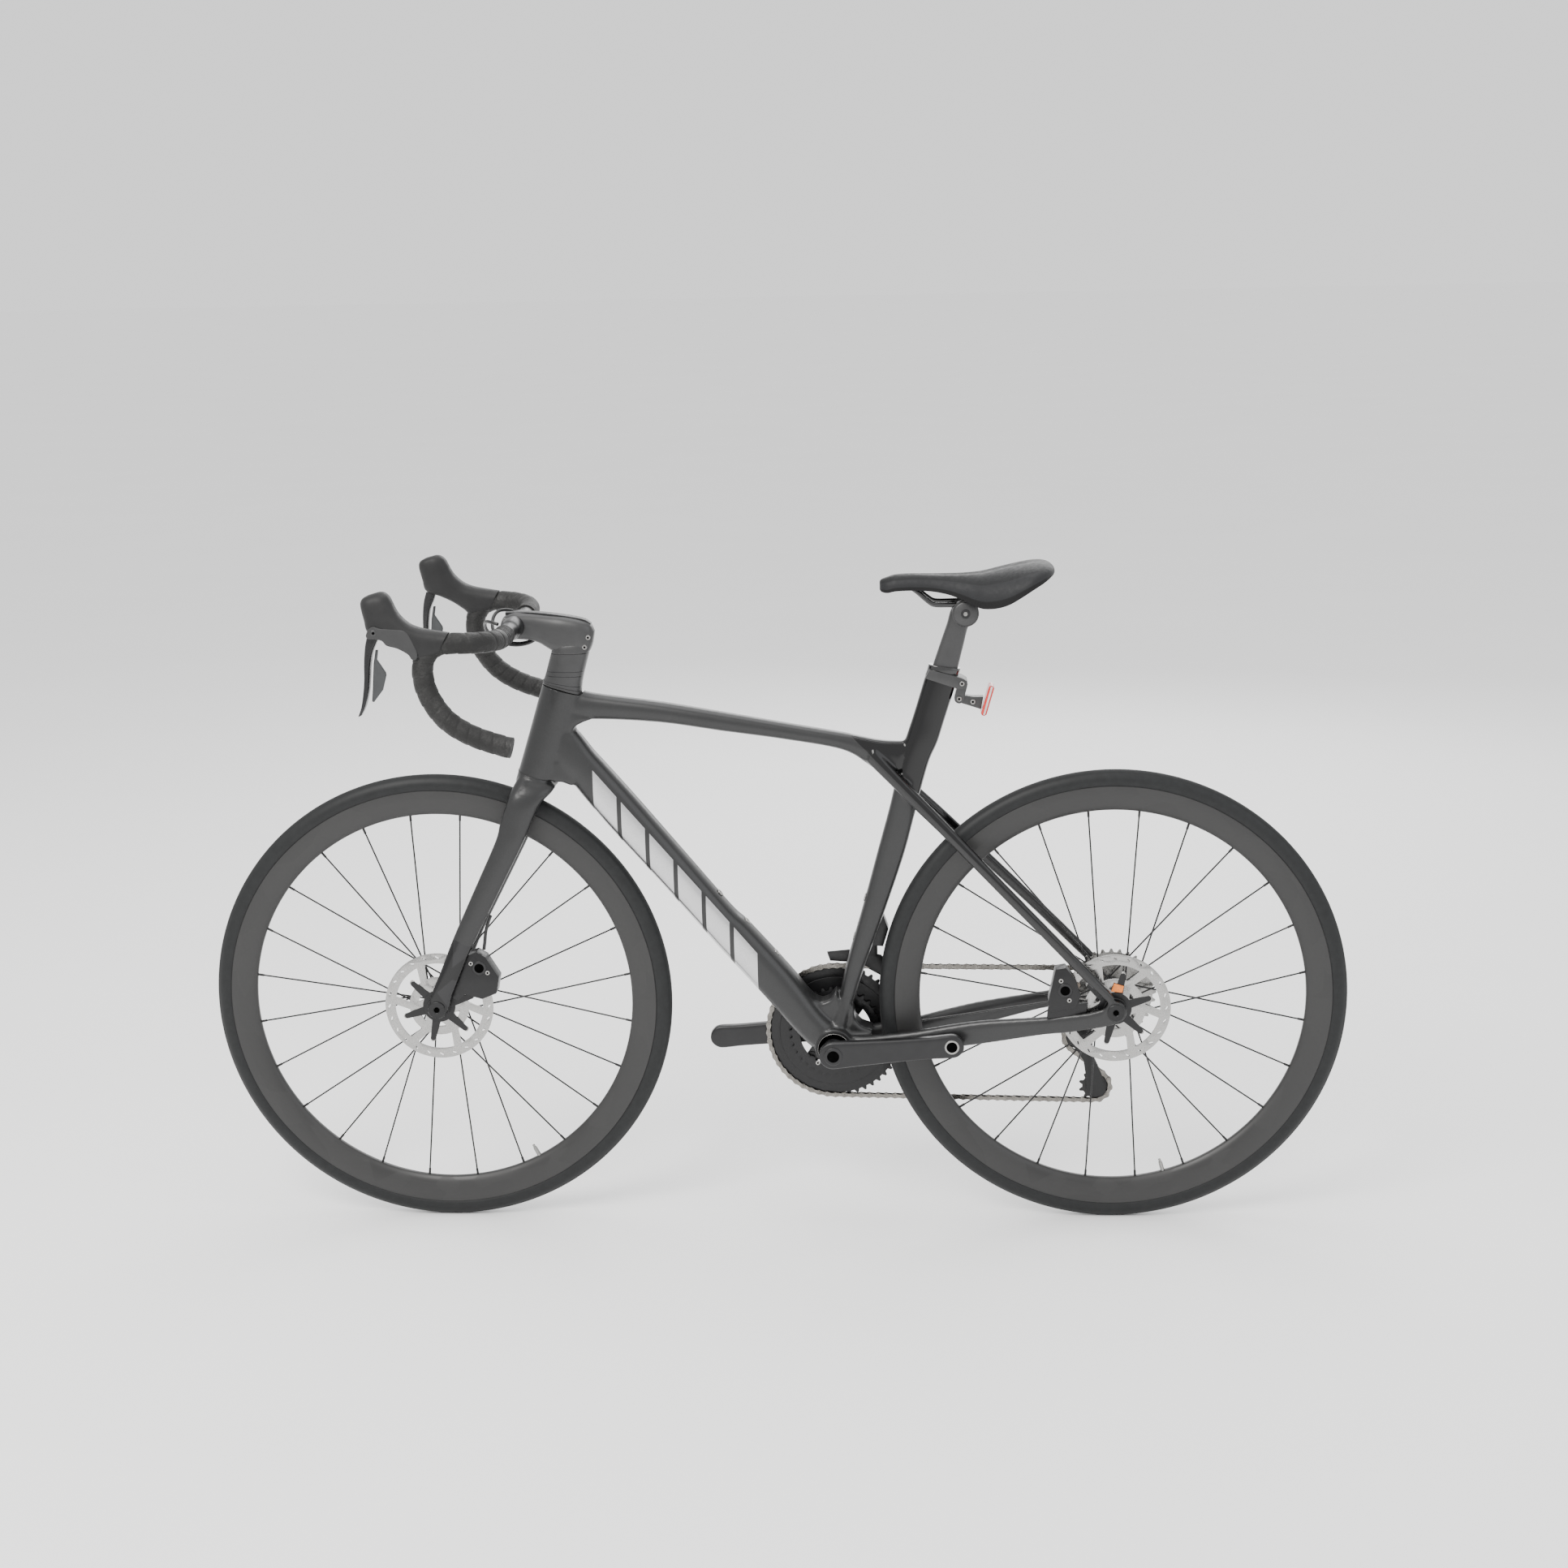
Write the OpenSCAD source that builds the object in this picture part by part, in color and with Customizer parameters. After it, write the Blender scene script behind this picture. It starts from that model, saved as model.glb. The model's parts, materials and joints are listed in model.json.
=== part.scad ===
// Road bicycle with disc brakes, drop handlebar and a double chainset.
// Millimetres. +X runs from the front wheel to the rear wheel, +Z is up and -Y is the rider's left.
// The origin is on the ground, midway between the axles. Side-view points are written as
// [distance behind the front axle, height above the ground].

/* [Wheels] */
// Distance between the two axles
wheelbase = 985.7; // [982:0.1:990]
// Radius of the tyre's tread, and so the height of both axles
wheel_radius = 340; // [338:0.5:342]
// Width of the tyre
tyre_width = 29; // [26:0.5:30]
// Depth of the rim's section
rim_depth = 37; // [32:0.5:42]
// Spokes in each wheel
spoke_count = 24; // [20:4:28]
// Radius of both brake rotors
rotor_radius = 80; // [79:0.5:81]

/* [Frame] */
// Angle of the steering axis above the ground
head_angle = 73; // [72.8:0.1:73.2]
// Distance from the steering axis to the front axle
fork_offset = 45; // [44.5:0.1:45.5]
// Height of the rear axle above the crank axle
bb_drop = 68; // [66:0.5:70]
// Distance from the crank axle to the rear axle
chainstay_length = 412; // [411:0.5:413]
// Spacing of the front dropouts
front_spacing = 100; // [100:1:100]
// Spacing of the rear dropouts
rear_spacing = 142; // [142:1:142]

/* [Drivetrain] */
// Distance from the crank axle to the pedal axle
crank_length = 172.5; // [165:2.5:175]
// Turn of the left crank arm above the rearward direction
crank_angle = 4.6; // [0:0.1:15]
// Teeth of the large chainring
ring_teeth = 50; // [48:1:52]
// Teeth of the small chainring
small_ring_teeth = 34; // [34:1:36]
// Teeth of both derailleur pulleys
pulley_teeth = 11; // [11:1:11]
// Distance of the chain from the bicycle's mid-plane
chain_y = 48.5; // [48:0.1:49]

/* [Cockpit] */
// Distance from the mid-plane to the middle of each drop
bar_half_width = 200; // [190:5:210]
// Radius of the handlebar at the stem
bar_radius = 15.9; // [15.9:0.1:15.9]
// Radius of the wrapped bar tape
tape_radius = 15.2; // [14:0.1:16]

/* [Hidden] */
$fn = 64;

// Running clearance of a shaft, and the gap kept between bodies that pass each other
run_gap = 0.05;
free_gap = 0.4;
chain_pitch = 12.7;

front_axle = [0, wheel_radius];
rear_axle = [wheelbase, wheel_radius];
bb_z = wheel_radius - bb_drop;
bb_x = wheelbase - sqrt(pow(chainstay_length, 2) - pow(bb_drop, 2));
bb = [bb_x, bb_z];

// Steering axis: its foot is beside the front axle, and steer() measures along and behind it
steer_dir = [cos(head_angle), sin(head_angle)];
steer_foot = [front_axle[0] + fork_offset / sin(head_angle), front_axle[1]];
function steer(s, r) = steer_foot + s * steer_dir + r * [sin(head_angle), -cos(head_angle)];
crown_s = 355.5;
head_low_s = 356.5;
head_top_s = 487;
spacer_low_s = 488;
steerer_top_s = 556;
steerer_r = 14.3;
steerer_low_r = 15.9;

// ---- Surfaces ----

// Catmull-Rom curve through a list of vectors, k steps a span
function span(a, b, c, d, t) =
    0.5 * (2 * b + t * (c - a) + t * t * (2 * a - 5 * b + 4 * c - d) + t * t * t * (3 * b - a - 3 * c + d));
function smooth(p, k) = let (m = len(p) - 1)
    concat([for (i = [0:m - 1], j = [0:k - 1])
        span(p[max(i - 1, 0)], p[i], p[i + 1], p[min(i + 2, m)], j / k)], [p[m]]);
function power(v, e) = sign(v) * pow(abs(v), e);

// Ring of a tube. s is [upper x, upper z, lower x, lower z, half width, sideways place]
function tube_ring(s, e, n) = [for (j = [0:n - 1]) let (a = 360 * (j + 0.5) / n)
    [(s[0] + s[2]) / 2 + (s[0] - s[2]) / 2 * power(cos(a), e),
     s[5] + s[4] * power(sin(a), e),
     (s[1] + s[3]) / 2 + (s[1] - s[3]) / 2 * power(cos(a), e)]];

// Side faces between successive rings of n points
function side_faces(m, n, base = 0) = [for (i = [0:m - 2], j = [0:n - 1]) each
    [[base + i * n + j, base + i * n + (j + 1) % n, base + (i + 1) * n + (j + 1) % n],
     [base + i * n + j, base + (i + 1) * n + (j + 1) % n, base + (i + 1) * n + j]]];
function turned(faces) = [for (f = faces) [for (i = [len(f) - 1:-1:0]) f[i]]];

// Area vector of a ring, which says which way round it runs
function ring_area(r, i = 1) = i > len(r) - 2 ? [0, 0, 0]
    : cross(r[i] - r[0], r[i + 1] - r[0]) + ring_area(r, i + 1);
function runs_forward(rings) = let (m = len(rings) - 1, h = floor(m / 2))
    ring_area(rings[h]) * (rings[min(h + 1, m)][0] - rings[max(h - 1, 0)][0]) > 0;

// Strip of triangles that closes an end ring, from its first point to its middle
function cap_faces(n, base) = [for (j = [0:n / 2 - 2]) each
    [[base + j, base + j + 1, base + n - 2 - j], [base + j, base + n - 2 - j, base + n - 1 - j]]];

// Closed surface over a list of rings
module skin(rings) {
    m = len(rings);
    n = len(rings[0]);
    faces = concat(cap_faces(n, 0), turned(side_faces(m, n)), turned(cap_faces(n, (m - 1) * n)));
    polyhedron([for (r = rings) each r], runs_forward(rings) ? faces : turned(faces), convexity = 8);
}

// Wall between an outer and an inner list of rings, open at both ends
module pipe(outer, inner) {
    m = len(outer);
    n = len(outer[0]);
    last = (m - 1) * n;
    base = m * n;
    ends = [for (j = [0:n - 1]) let (k = (j + 1) % n) each
        [[j, k, base + k], [j, base + k, base + j],
         [last + k, last + j, base + last + j], [last + k, base + last + j, base + last + k]]];
    faces = concat(turned(side_faces(m, n)), side_faces(m, n, base), ends);
    polyhedron(concat([for (r = outer) each r], [for (r = inner) each r]),
               runs_forward(outer) ? faces : turned(faces), convexity = 10);
}

// Rings along a path of [x, y, z, radius], carried without twist
function unit(v) = v / norm(v);
function carried(n, t) = unit(n - (n * t) * t);
function place(p) = [p[0], p[1], p[2]];
function path_rings(p, start, n, grow = 0) = let (
        m = len(p) - 1,
        t = [for (i = [0:m]) unit(place(p[min(i + 1, m)]) - place(p[max(i - 1, 0)]))],
        u = [for (i = 0, v = carried(start, t[0]); i <= m; i = i + 1, v = carried(v, t[min(i, m)])) v])
    [for (i = [0:m]) [for (j = [0:n - 1]) place(p[i])
        + (p[i][3] + grow) * (cos(360 * j / n) * u[i] + sin(360 * j / n) * cross(t[i], u[i]))]];

// ---- Placing ----

module from_front_axle() translate([-wheelbase / 2, 0, 0]) children();
// Puts a child drawn along +Z from the origin on the sideways line through a side-view point
module across(p, y = 0) translate([p[0], y, p[1]]) rotate([-90, 0, 0]) children();
// Extrudes a side-view outline from y0 to y1
module side_plate(y0, y1) translate([0, y1, 0]) rotate([90, 0, 0]) linear_extrude(y1 - y0) children();
// Puts a child drawn along +Z on the steering axis
module along_steerer(s) translate([steer(s, 0)[0], 0, steer(s, 0)[1]]) rotate([0, 90 - head_angle, 0]) children();
module both_sides() {
    children();
    mirror([0, 1, 0]) children();
}
// Outline of a bar with two round ends
round_steps = 12;
module bar_between(a, b, ra, rb) {
    turn = atan2(b[1] - a[1], b[0] - a[0]);
    polygon(concat(
        [for (i = [0:round_steps]) let (q = turn + 90 + 180 * i / round_steps) a + ra * [cos(q), sin(q)]],
        [for (i = [0:round_steps]) let (q = turn - 90 + 180 * i / round_steps) b + rb * [cos(q), sin(q)]]));
}
module tube(stations, e, n, k) skin([for (s = smooth(stations, k)) tube_ring(s, e, n)]);

// ---- Frame ----

paint = "dimgray";
HEAD_TUBE = [
    [steer(356.5, 27), steer(356.5, -25), 27], [steer(375, 29), steer(375, -24.6), 26.5],
    [steer(430, 31), steer(430, -24), 24.5], [steer(487, 33), steer(487, -23.8), 24]];
module head_tube() color(paint) from_front_axle() difference() {
    skin([for (s = smooth([for (h = HEAD_TUBE) concat(h[0], h[1], [h[2], 0])], 3)) tube_ring(s, 0.85, 28)]);
    head_bores();
}
module head_bores() {
    along_steerer(350) cylinder(h = 145, r = steerer_low_r + 2);
    along_steerer(350) cylinder(h = 17, r = lower_bearing_r);
    along_steerer(head_top_s - 11) cylinder(h = 20, r = upper_bearing_r);
}

TOP_TUBE = [
    [196, 806, 183, 760, 17, 0], [224, 802, 216, 756, 17, 0], [250, 796.5, 243, 760, 16.5, 0],
    [340, 784, 335, 754.5, 16, 0], [430, 768, 425, 741, 15.5, 0], [520, 751.5, 515, 728, 15, 0],
    [600, 737, 596, 712.5, 15, 0], [650, 726.5, 634, 690, 15, 0], [690, 724, 668, 662, 13, 0]];
module top_tube() color(paint) from_front_axle() difference() {
    tube(TOP_TUBE, 0.8, 20, 2);
    head_bores();
    along_steerer(head_top_s + 0.9) cylinder(h = 40, r = 36.2);
}

DOWN_TUBE = [
    [196, 756, 168, 700, 19, 0], [214.5, 743.6, 184, 677, 21, 0], [237, 714, 203, 669, 23, 0],
    [256, 692, 218, 650, 24, 0], [300, 640, 256, 602.4, 25, 0], [365, 560.5, 324, 524, 26, 0],
    [431, 480, 390.4, 445.3, 27, 0], [458, 453, 413, 418, 27.5, 0], [521, 380, 478.3, 343, 30, 0],
    [562, 325, 531, 281, 34, 0], [588, 300, 560, 256, 35, 0]];
module down_tube() color(paint) from_front_axle() difference() {
    tube(DOWN_TUBE, 0.75, 20, 2);
    head_bores();
    bb_bore();
    for (p = DOWN_BOSSES) boss_place(p, DOWN_BOSS_TILT) translate([0, 0, -boss_depth - 1])
        cylinder(h = boss_depth + 8, r = boss_r);
}

SEAT_TUBE = [
    [600, 284, 560, 272, 30, 0], [604, 316, 574, 309, 24, 0], [612, 345, 586, 340, 20, 0],
    [626, 390, 599, 396, 17, 0], [657, 476, 624.5, 484, 15, 0], [684, 556, 646, 563, 14, 0],
    [699, 612, 663, 625, 14, 0], [710, 655, 673, 668, 14, 0], [722, 696, 681, 706, 14, 0],
    [733.5, 722, 690, 735, 14, 0], [743, 752, 699, 762, 13.5, 0], [756, 793, 711, 801, 13.5, 0],
    [766, 826, 720.5, 833, 13.5, 0]];
module seat_tube() color(paint) from_front_axle() difference() {
    tube(SEAT_TUBE, 0.8, 20, 2);
    bb_bore();
    for (p = SEAT_BOSSES) boss_place(p, SEAT_BOSS_TILT) translate([0, 0, -boss_depth - 1])
        cylinder(h = boss_depth + 8, r = boss_r);
}

shell_r = 27;
shell_half = 36;
cup_r = 20.5;
module bb_shell() color(paint) from_front_axle() difference() {
    across(bb, -shell_half) cylinder(h = 2 * shell_half, r = shell_r);
    bb_bore();
}
module bb_bore() across(bb, -shell_half - 1) cylinder(h = 2 * shell_half + 2, r = cup_r);

// Left stays; the right ones are their mirror images
SEAT_STAY = [
    [644, 716, 631, 697, 8, -11], [682, 675.5, 668, 661, 8, -19], [711, 646, 697, 632, 8, -26],
    [750.4, 606.4, 737.6, 593.6, 7, -36.5], [826, 528, 814, 516, 6.5, -52],
    [894, 458, 882.5, 446.5, 6.3, -63.5], [950.5, 399, 939.5, 387.5, 6, -70.5], [985, 361, 976, 352, 3.4, -74.5]];
CHAIN_STAY = [
    [590, 291, 590, 252, 10, -20], [620, 289, 620, 250, 10, -26], [660, 293, 660, 257, 8.5, -28.7],
    [700, 299, 700, 265, 8, -32.5], [750, 310, 750, 275, 8, -39], [800, 319, 800, 284, 7.5, -46.5],
    [880, 328, 880, 301, 6.5, -60], [915, 333, 915, 306, 5.7, -65.5], [950, 339, 950, 313, 4.4, -71.5],
    [984, 350, 984, 320, 3.3, -74.7]];
dropout_in = rear_spacing / 2;
dropout_wall = 7;
hanger = [995, 312];
module stay_end(y0) {
    across(rear_axle, y0) cylinder(h = dropout_wall, r = 16);
}
module seatstays() color(paint) from_front_axle() both_sides() tube(SEAT_STAY, 0.85, 14, 2);
module chainstays() color(paint) from_front_axle() difference() {
    union() {
        both_sides() {
            tube(CHAIN_STAY, 0.75, 14, 2);
            stay_end(-dropout_in - dropout_wall);
        }
        side_plate(dropout_in, dropout_in + 5) bar_between(rear_axle, hanger, 12, 10);
    }
    bb_bore();
    across(rear_axle, -100) cylinder(h = 200, r = axle_r + run_gap);
    across(hanger, 60) cylinder(h = 30, r = hanger_bolt_r);
}

// Press-fit bearing units: both headset bearings and both crank bearings
lower_bearing_r = 23;
upper_bearing_r = 20.9;
bearing_h = 7;
spindle_r = 12;
module frame_bearings() color("silver") from_front_axle() {
    along_steerer(358) bearing_ring(lower_bearing_r, steerer_low_r + run_gap, bearing_h);
    along_steerer(head_top_s - 9) bearing_ring(upper_bearing_r, steerer_r + run_gap, bearing_h);
    both_sides() {
        across(bb, -shell_half) bearing_ring(cup_r, spindle_r + run_gap, 16);
        across(bb, -shell_half - 4) bearing_ring(cup_r + 2.8, spindle_r + run_gap, 4);
    }
}
module bearing_ring(outer, inner, h) difference() {
    cylinder(h = h, r = outer);
    translate([0, 0, -1]) cylinder(h = h + 2, r = inner);
}

// Threaded inserts for bottle cages
boss_r = 4.5;
boss_depth = 12;
boss_bore_r = 2.1;
DOWN_BOSSES = [[415, 499.5], [454, 456.5], [496, 408.5]];
SEAT_BOSSES = [[627, 492], [610.5, 433]];
DOWN_BOSS_TILT = 50.5;
SEAT_BOSS_TILT = -74.5;
module boss_place(p, tilt) translate([p[0], 0, p[1]]) rotate([0, tilt, 0]) children();
module boss() translate([0, 0, -boss_depth]) difference() {
    union() {
        cylinder(h = boss_depth + 1.5, r = boss_r);
        translate([0, 0, boss_depth - 0.5]) cylinder(h = 2, r = boss_r + 1.5);
    }
    translate([0, 0, 2]) cylinder(h = boss_depth, r = boss_bore_r);
}
module bottle_bosses() color("silver") from_front_axle() {
    for (p = DOWN_BOSSES) boss_place(p, DOWN_BOSS_TILT) boss();
    for (p = SEAT_BOSSES) boss_place(p, SEAT_BOSS_TILT) boss();
}

// ---- Seat ----

SEATPOST = [
    [758, 812, 722, 817, 10.5, 0], [763, 830, 728, 836, 10.5, 0], [771, 862, 738.5, 867, 10.5, 0],
    [779, 891, 747.5, 893, 11, 0], [793, 906, 754, 914, 12, 0], [785, 918, 764, 919, 10, 0]];
module seatpost() color("gray") from_front_axle() tube(SEATPOST, 0.8, 20, 2);

clamp_at = [773.6, 911.3];
rail_y = 22;
rail_z = 923;
module saddle_clamp() color("dimgray") from_front_axle() difference() {
    union() {
        both_sides() {
            across(clamp_at, -29) cylinder(h = 12.5, r = 19);
            across(clamp_at, -32) cylinder(h = 3, r = 17);
        }
        across(clamp_at, -20) cylinder(h = 40, r = 8);
    }
    both_sides() translate([clamp_at[0] - 30, -rail_y, rail_z]) rotate([0, 90, 0])
        cylinder(h = 60, r = rail_r);
}

rail_r = 3.5;
RAIL = [
    [688, -7, 951], [696, -11, 947.5], [706, -15, 941], [718, -19, 931], [727, -21.5, 924.6], [736, -22, rail_z],
    [752, -22, rail_z], [774, -22, rail_z], [796, -22, rail_z], [812, -23, 924.5], [830, -27, 932],
    [846, -32, 944], [856, -35, 953]];
module saddle_rails() color("black") from_front_axle() both_sides()
    skin(path_rings([for (p = smooth(RAIL, 2)) concat(p, [rail_r - 0.05])], [0, 1, 0], 10));

// Saddle sections: [x, half width, crown height, height of the side's lower edge]
SADDLE = [
    [653, 5, 955, 943.5], [656, 11, 958, 941], [664, 17, 961, 940], [676, 19.5, 964.2, 942.5],
    [700, 21, 965.6, 943.5], [726, 24, 965.6, 942.5], [750, 30, 965.3, 938.5], [769, 37, 965.3, 932],
    [786, 47, 966, 924.5], [800, 56, 967.5, 921.5], [818, 64, 971.5, 923.5], [834, 69, 975, 929],
    [850, 72, 978, 938.5], [866, 72.5, 980.4, 949], [880, 66, 980.8, 957], [890, 54, 978.5, 963],
    [896, 38, 974.5, 966.5], [898.5, 20, 971.5, 968]];
saddle_n = 11;
// Crescent section: over the crown and back underneath, thick at the crown
function saddle_ring(s, out, wall) = let (
        w0 = s[1] - out, h0 = max(s[2] - out - s[3], 1.2), w1 = max(w0 - wall, 1), h1 = max(h0 - wall, 0.5))
    concat([for (i = [0:saddle_n]) let (a = 180 * i / saddle_n)
                [s[0], w0 * power(cos(a), 0.8), s[3] + h0 * power(sin(a), 0.72)]],
           [for (i = [saddle_n:-1:0]) let (a = 180 * i / saddle_n)
                [s[0], w1 * power(cos(a), 0.8), s[3] + h1 * power(sin(a), 0.72)]]);
pad_wall = 7;
module saddle_pad() color("dimgray") from_front_axle()
    skin([for (s = smooth(SADDLE, 2)) saddle_ring(s, 0, pad_wall)]);
module saddle_shell() color("black") from_front_axle()
    skin([for (s = smooth(SADDLE_SHELL, 2)) saddle_ring(s, pad_wall + 0.3, 2.5)]);
SADDLE_SHELL = [for (i = [3:len(SADDLE) - 3]) SADDLE[i]];

// ---- Rear light ----

STRAP = [[716.5, 817.5], [722.5, 830], [768, 817.5], [775.5, 813], [776.5, 808], [772, 801.5], [762, 802]];
module light_bracket() color("gray") from_front_axle() {
    side_plate(-17.5, 17.5) polygon(STRAP);
    side_plate(-9, 9) bar_between([769.5, 806], [764.5, 786], 6.8, 6.8);
    side_plate(-6, 6) bar_between([764.5, 786], [784, 781.5], 5.6, 7);
    side_plate(-8, 8) polygon([[780, 788.5], [799, 788.5], [795.5, 770.5], [779, 776]]);
}
LIGHT = [[807.5, 806.5], [815, 804], [802.5, 761.5], [794.5, 763.5]];
module rear_light() color("red") from_front_axle() side_plate(-16, 16) polygon(LIGHT);

// ---- Wheels ----

tube_r = tyre_width / 2;
tube_at = wheel_radius - tube_r;
rim_out = wheel_radius - 22.5;
rim_in = rim_out - rim_depth;
axle_r = 6;

// Half of the tyre's section, from the crown down the outside, round the bead and back inside
tyre_wall = 2;
BEAD = [[0, 11.8], [0, 9.7], [-3.5, 9.7], [-3.5, 8.1], [1, 8.1]];
TYRE = concat([for (i = [0:15]) tyre_point(4 + 7.8 * i, tube_r)], [for (p = BEAD) p + [rim_out, 0]],
              [for (i = [15:-1:0]) tyre_point(4 + 7.8 * i, tube_r - tyre_wall)]);
function tyre_point(turn, r) = [tube_at + r * cos(turn), r * sin(turn)];
module tyre() color("black") rotate([90, 0, 0]) rotate_extrude($fn = 128) polygon(both_halves(TYRE));
RIM = [[0, 1.6], [1, 4], [6, 7.5], [14, 10.2], [24, 12.1], [31, 12.6], [37, 12.6]];
module rim() color([0.16, 0.16, 0.16]) rotate([90, 0, 0]) rotate_extrude($fn = 128) difference() {
    polygon(both_halves([for (p = RIM) [rim_in + p[0] * rim_depth / 37, p[1]]]));
    translate([rim_out - 5, -9.8]) square([6, 19.6]);
    polygon(both_halves([[rim_in + 6, 5.2], [rim_in + 14, 8.2], [rim_in + 24, 10.2], [rim_out - 7, 10.6]]));
}
function both_halves(p) = concat(p, [for (i = [len(p) - 1:-1:0]) [p[i][0], -p[i][1]]]);

// One spoke from a hub flange to the rim
spoke_r = 1;
spoke_cross = 2;
module spoke(hub_at, hub_y, hole_r, rim_angle) {
    a = [hole_r * cos(hub_at), hub_y, hole_r * sin(hub_at)];
    b = [(rim_in + 4) * cos(rim_angle), 0, (rim_in + 4) * sin(rim_angle)];
    d = b - a;
    translate(a) rotate([0, acos(d[2] / norm(d)), atan2(d[1], d[0])]) cylinder(h = norm(d), r = spoke_r, $fn = 16);
}
module spokes(left_y, right_y, hole_r) color([0.1, 0.1, 0.1]) for (i = [0:spoke_count - 1]) {
    rim_angle = 360 * (i + 0.5) / spoke_count - 90;
    lead = floor(i / 2) % 2 == 0 ? 1 : -1;
    flange = i % 2 == 0 ? left_y : right_y;
    spoke(rim_angle + lead * spoke_cross * 720 / spoke_count, flange + lead * 2.3, hole_r, rim_angle);
}
// Hub shell between its bearings' end caps: [sideways place, radius] of each step
module hub_body(steps, left_y, right_y, flange_r) difference() {
    union() {
        rotate([-90, 0, 0]) rotate_extrude() polygon(concat([[0, steps[0][0]]],
            [for (s = steps) [s[1], s[0]]], [[0, steps[len(steps) - 1][0]]]));
        for (y = [left_y, right_y]) across([0, 0], y - 1.25) cylinder(h = 2.5, r = flange_r);
    }
    across([0, 0], -100) cylinder(h = 200, r = axle_r + run_gap);
}
front_hole_r = 19;
rear_hole_r = 21;
front_flanges = [-25, 33];
rear_flanges = [-38, 15];
module at_front() from_front_axle() translate([0, 0, wheel_radius]) children();
module at_rear() from_front_axle() translate([wheelbase, 0, wheel_radius]) children();
FRONT_HUB = [[-49.6, 9.5], [-45.5, 9.5], [-45.5, 17], [-31, 17], [-24, 16], [-18, 12.5], [24, 12.5],
             [32, 15], [41, 14], [41, 9.5], [49.6, 9.5]];
REAR_HUB = [[-70.6, 10], [-64, 10], [-64, 17], [-46, 17], [-38, 17], [-30, 14], [6, 14], [14, 17], [19, 17]];
module front_tyre() at_front() tyre();
module front_rim() at_front() rim();
module front_spokes() at_front() spokes(front_flanges[0], front_flanges[1], front_hole_r);
module front_hub() color([0.15, 0.15, 0.15]) at_front()
    hub_body(FRONT_HUB, front_flanges[0], front_flanges[1], front_hole_r + 3);
module rear_tyre() at_rear() tyre();
module rear_rim() at_rear() rim();
module rear_spokes() at_rear() spokes(rear_flanges[0], rear_flanges[1], rear_hole_r);
module rear_hub() color([0.15, 0.15, 0.15]) at_rear()
    hub_body(REAR_HUB, rear_flanges[0], rear_flanges[1], rear_hole_r + 3);
module front_thru_axle() color([0.15, 0.15, 0.15]) at_front() {
    across([0, 0], -front_spacing / 2 - 9) cylinder(h = front_spacing + 18, r = axle_r);
    across([0, 0], -front_spacing / 2 - 12) cylinder(h = 3, r = 9);
}
module rear_thru_axle() color([0.15, 0.15, 0.15]) at_rear() {
    across([0, 0], -rear_spacing / 2 - 6) cylinder(h = rear_spacing + 12, r = axle_r);
    across([0, 0], -rear_spacing / 2 - 10) cylinder(h = 5, r = 9);
}

// ---- Brakes ----

rotor_t = 1.8;
track = 15;
rotor_arms = 6;
front_rotor_y = -39.5;
rear_rotor_y = -55.7;
module rotor(y) {
    color("silver") across([0, 0], y - rotor_t / 2) linear_extrude(rotor_t) difference() {
        circle(rotor_radius, $fn = 128);
        circle(rotor_radius - track, $fn = 96);
        for (i = [0:2 * rotor_arms * 2 - 1]) rotate(i * 180 / rotor_arms / 2) translate([rotor_radius - 6, 0])
            rotate(30) square([2, 5.5], center = true);
    }
    color("silver") across([0, 0], y - rotor_t / 2) linear_extrude(rotor_t) {
        difference() {
            circle(44);
            circle(31);
        }
        for (i = [0:rotor_arms - 1]) rotate(i * 360 / rotor_arms)
            polygon([[41, -6], [41, 5], [rotor_radius - track + 1, 16], [rotor_radius - track + 1, 3]]);
    }
    color([0.12, 0.12, 0.12]) across([0, 0], y - 1.6) linear_extrude(3.2) difference() {
        union() {
            circle(25);
            for (i = [0:rotor_arms - 1]) rotate(i * 360 / rotor_arms)
                polygon([[20, -11], [20, 11], [37, 4], [37, -4]]);
        }
        circle(17.05);
    }
}
module front_rotor() at_front() rotor(front_rotor_y);
module rear_rotor() at_rear() rotor(rear_rotor_y);

// A caliper straddles the rotor's rim. Its outline is given from the wheel's axle.
slot_half = 6;
module caliper_body(outline, y, inner, outer) difference() {
    side_plate(y - outer, y + inner) offset(r = 2, $fn = 16) polygon(outline);
    across([0, 0], y - slot_half) cylinder(h = 2 * slot_half, r = rotor_radius + 1.6, $fn = 96);
}
pad_t = 4.2;
pad_gap = 0.5;
module pad(at, turn, y) color("gray") side_plate(y, y + pad_t) translate(at) rotate(turn) square([15, 21], center = true);
FRONT_CALIPER = [[38, 24], [34, 44], [48, 78], [60, 83], [72, 76], [90, 46], [86, 24], [66, 16]];
front_pad_at = [56, 40];
FRONT_MOUNT = [[18, 18], [30, 12], [45, 24], [48, 80], [40, 84]];
module front_caliper() color([0.12, 0.12, 0.12]) at_front() {
    caliper_body(FRONT_CALIPER, front_rotor_y, 13, 12);
    difference() {
        side_plate(-51.4, -47.5) polygon(FRONT_MOUNT);
        across([0, 0], -60) cylinder(h = 20, r = 20);
    }
}
module front_pad_left() at_front() pad(front_pad_at, 36, front_rotor_y - rotor_t / 2 - pad_gap - pad_t);
module front_pad_right() at_front() pad(front_pad_at, 36, front_rotor_y + rotor_t / 2 + pad_gap);
REAR_CALIPER = [[-92, 0], [-94, 14], [-84, 60], [-72, 62], [-58, 44], [-52, 22], [-58, 6]];
rear_pad_at = [-61, 30];
module rear_caliper() color([0.12, 0.12, 0.12]) at_rear() {
    caliper_body(REAR_CALIPER, rear_rotor_y, 11, 13.5);
    side_plate(rear_rotor_y - 13, rear_rotor_y - 6.5) polygon([[-98, -12], [-96, 6], [-40, 12], [-42, -4]]);
}
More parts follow.
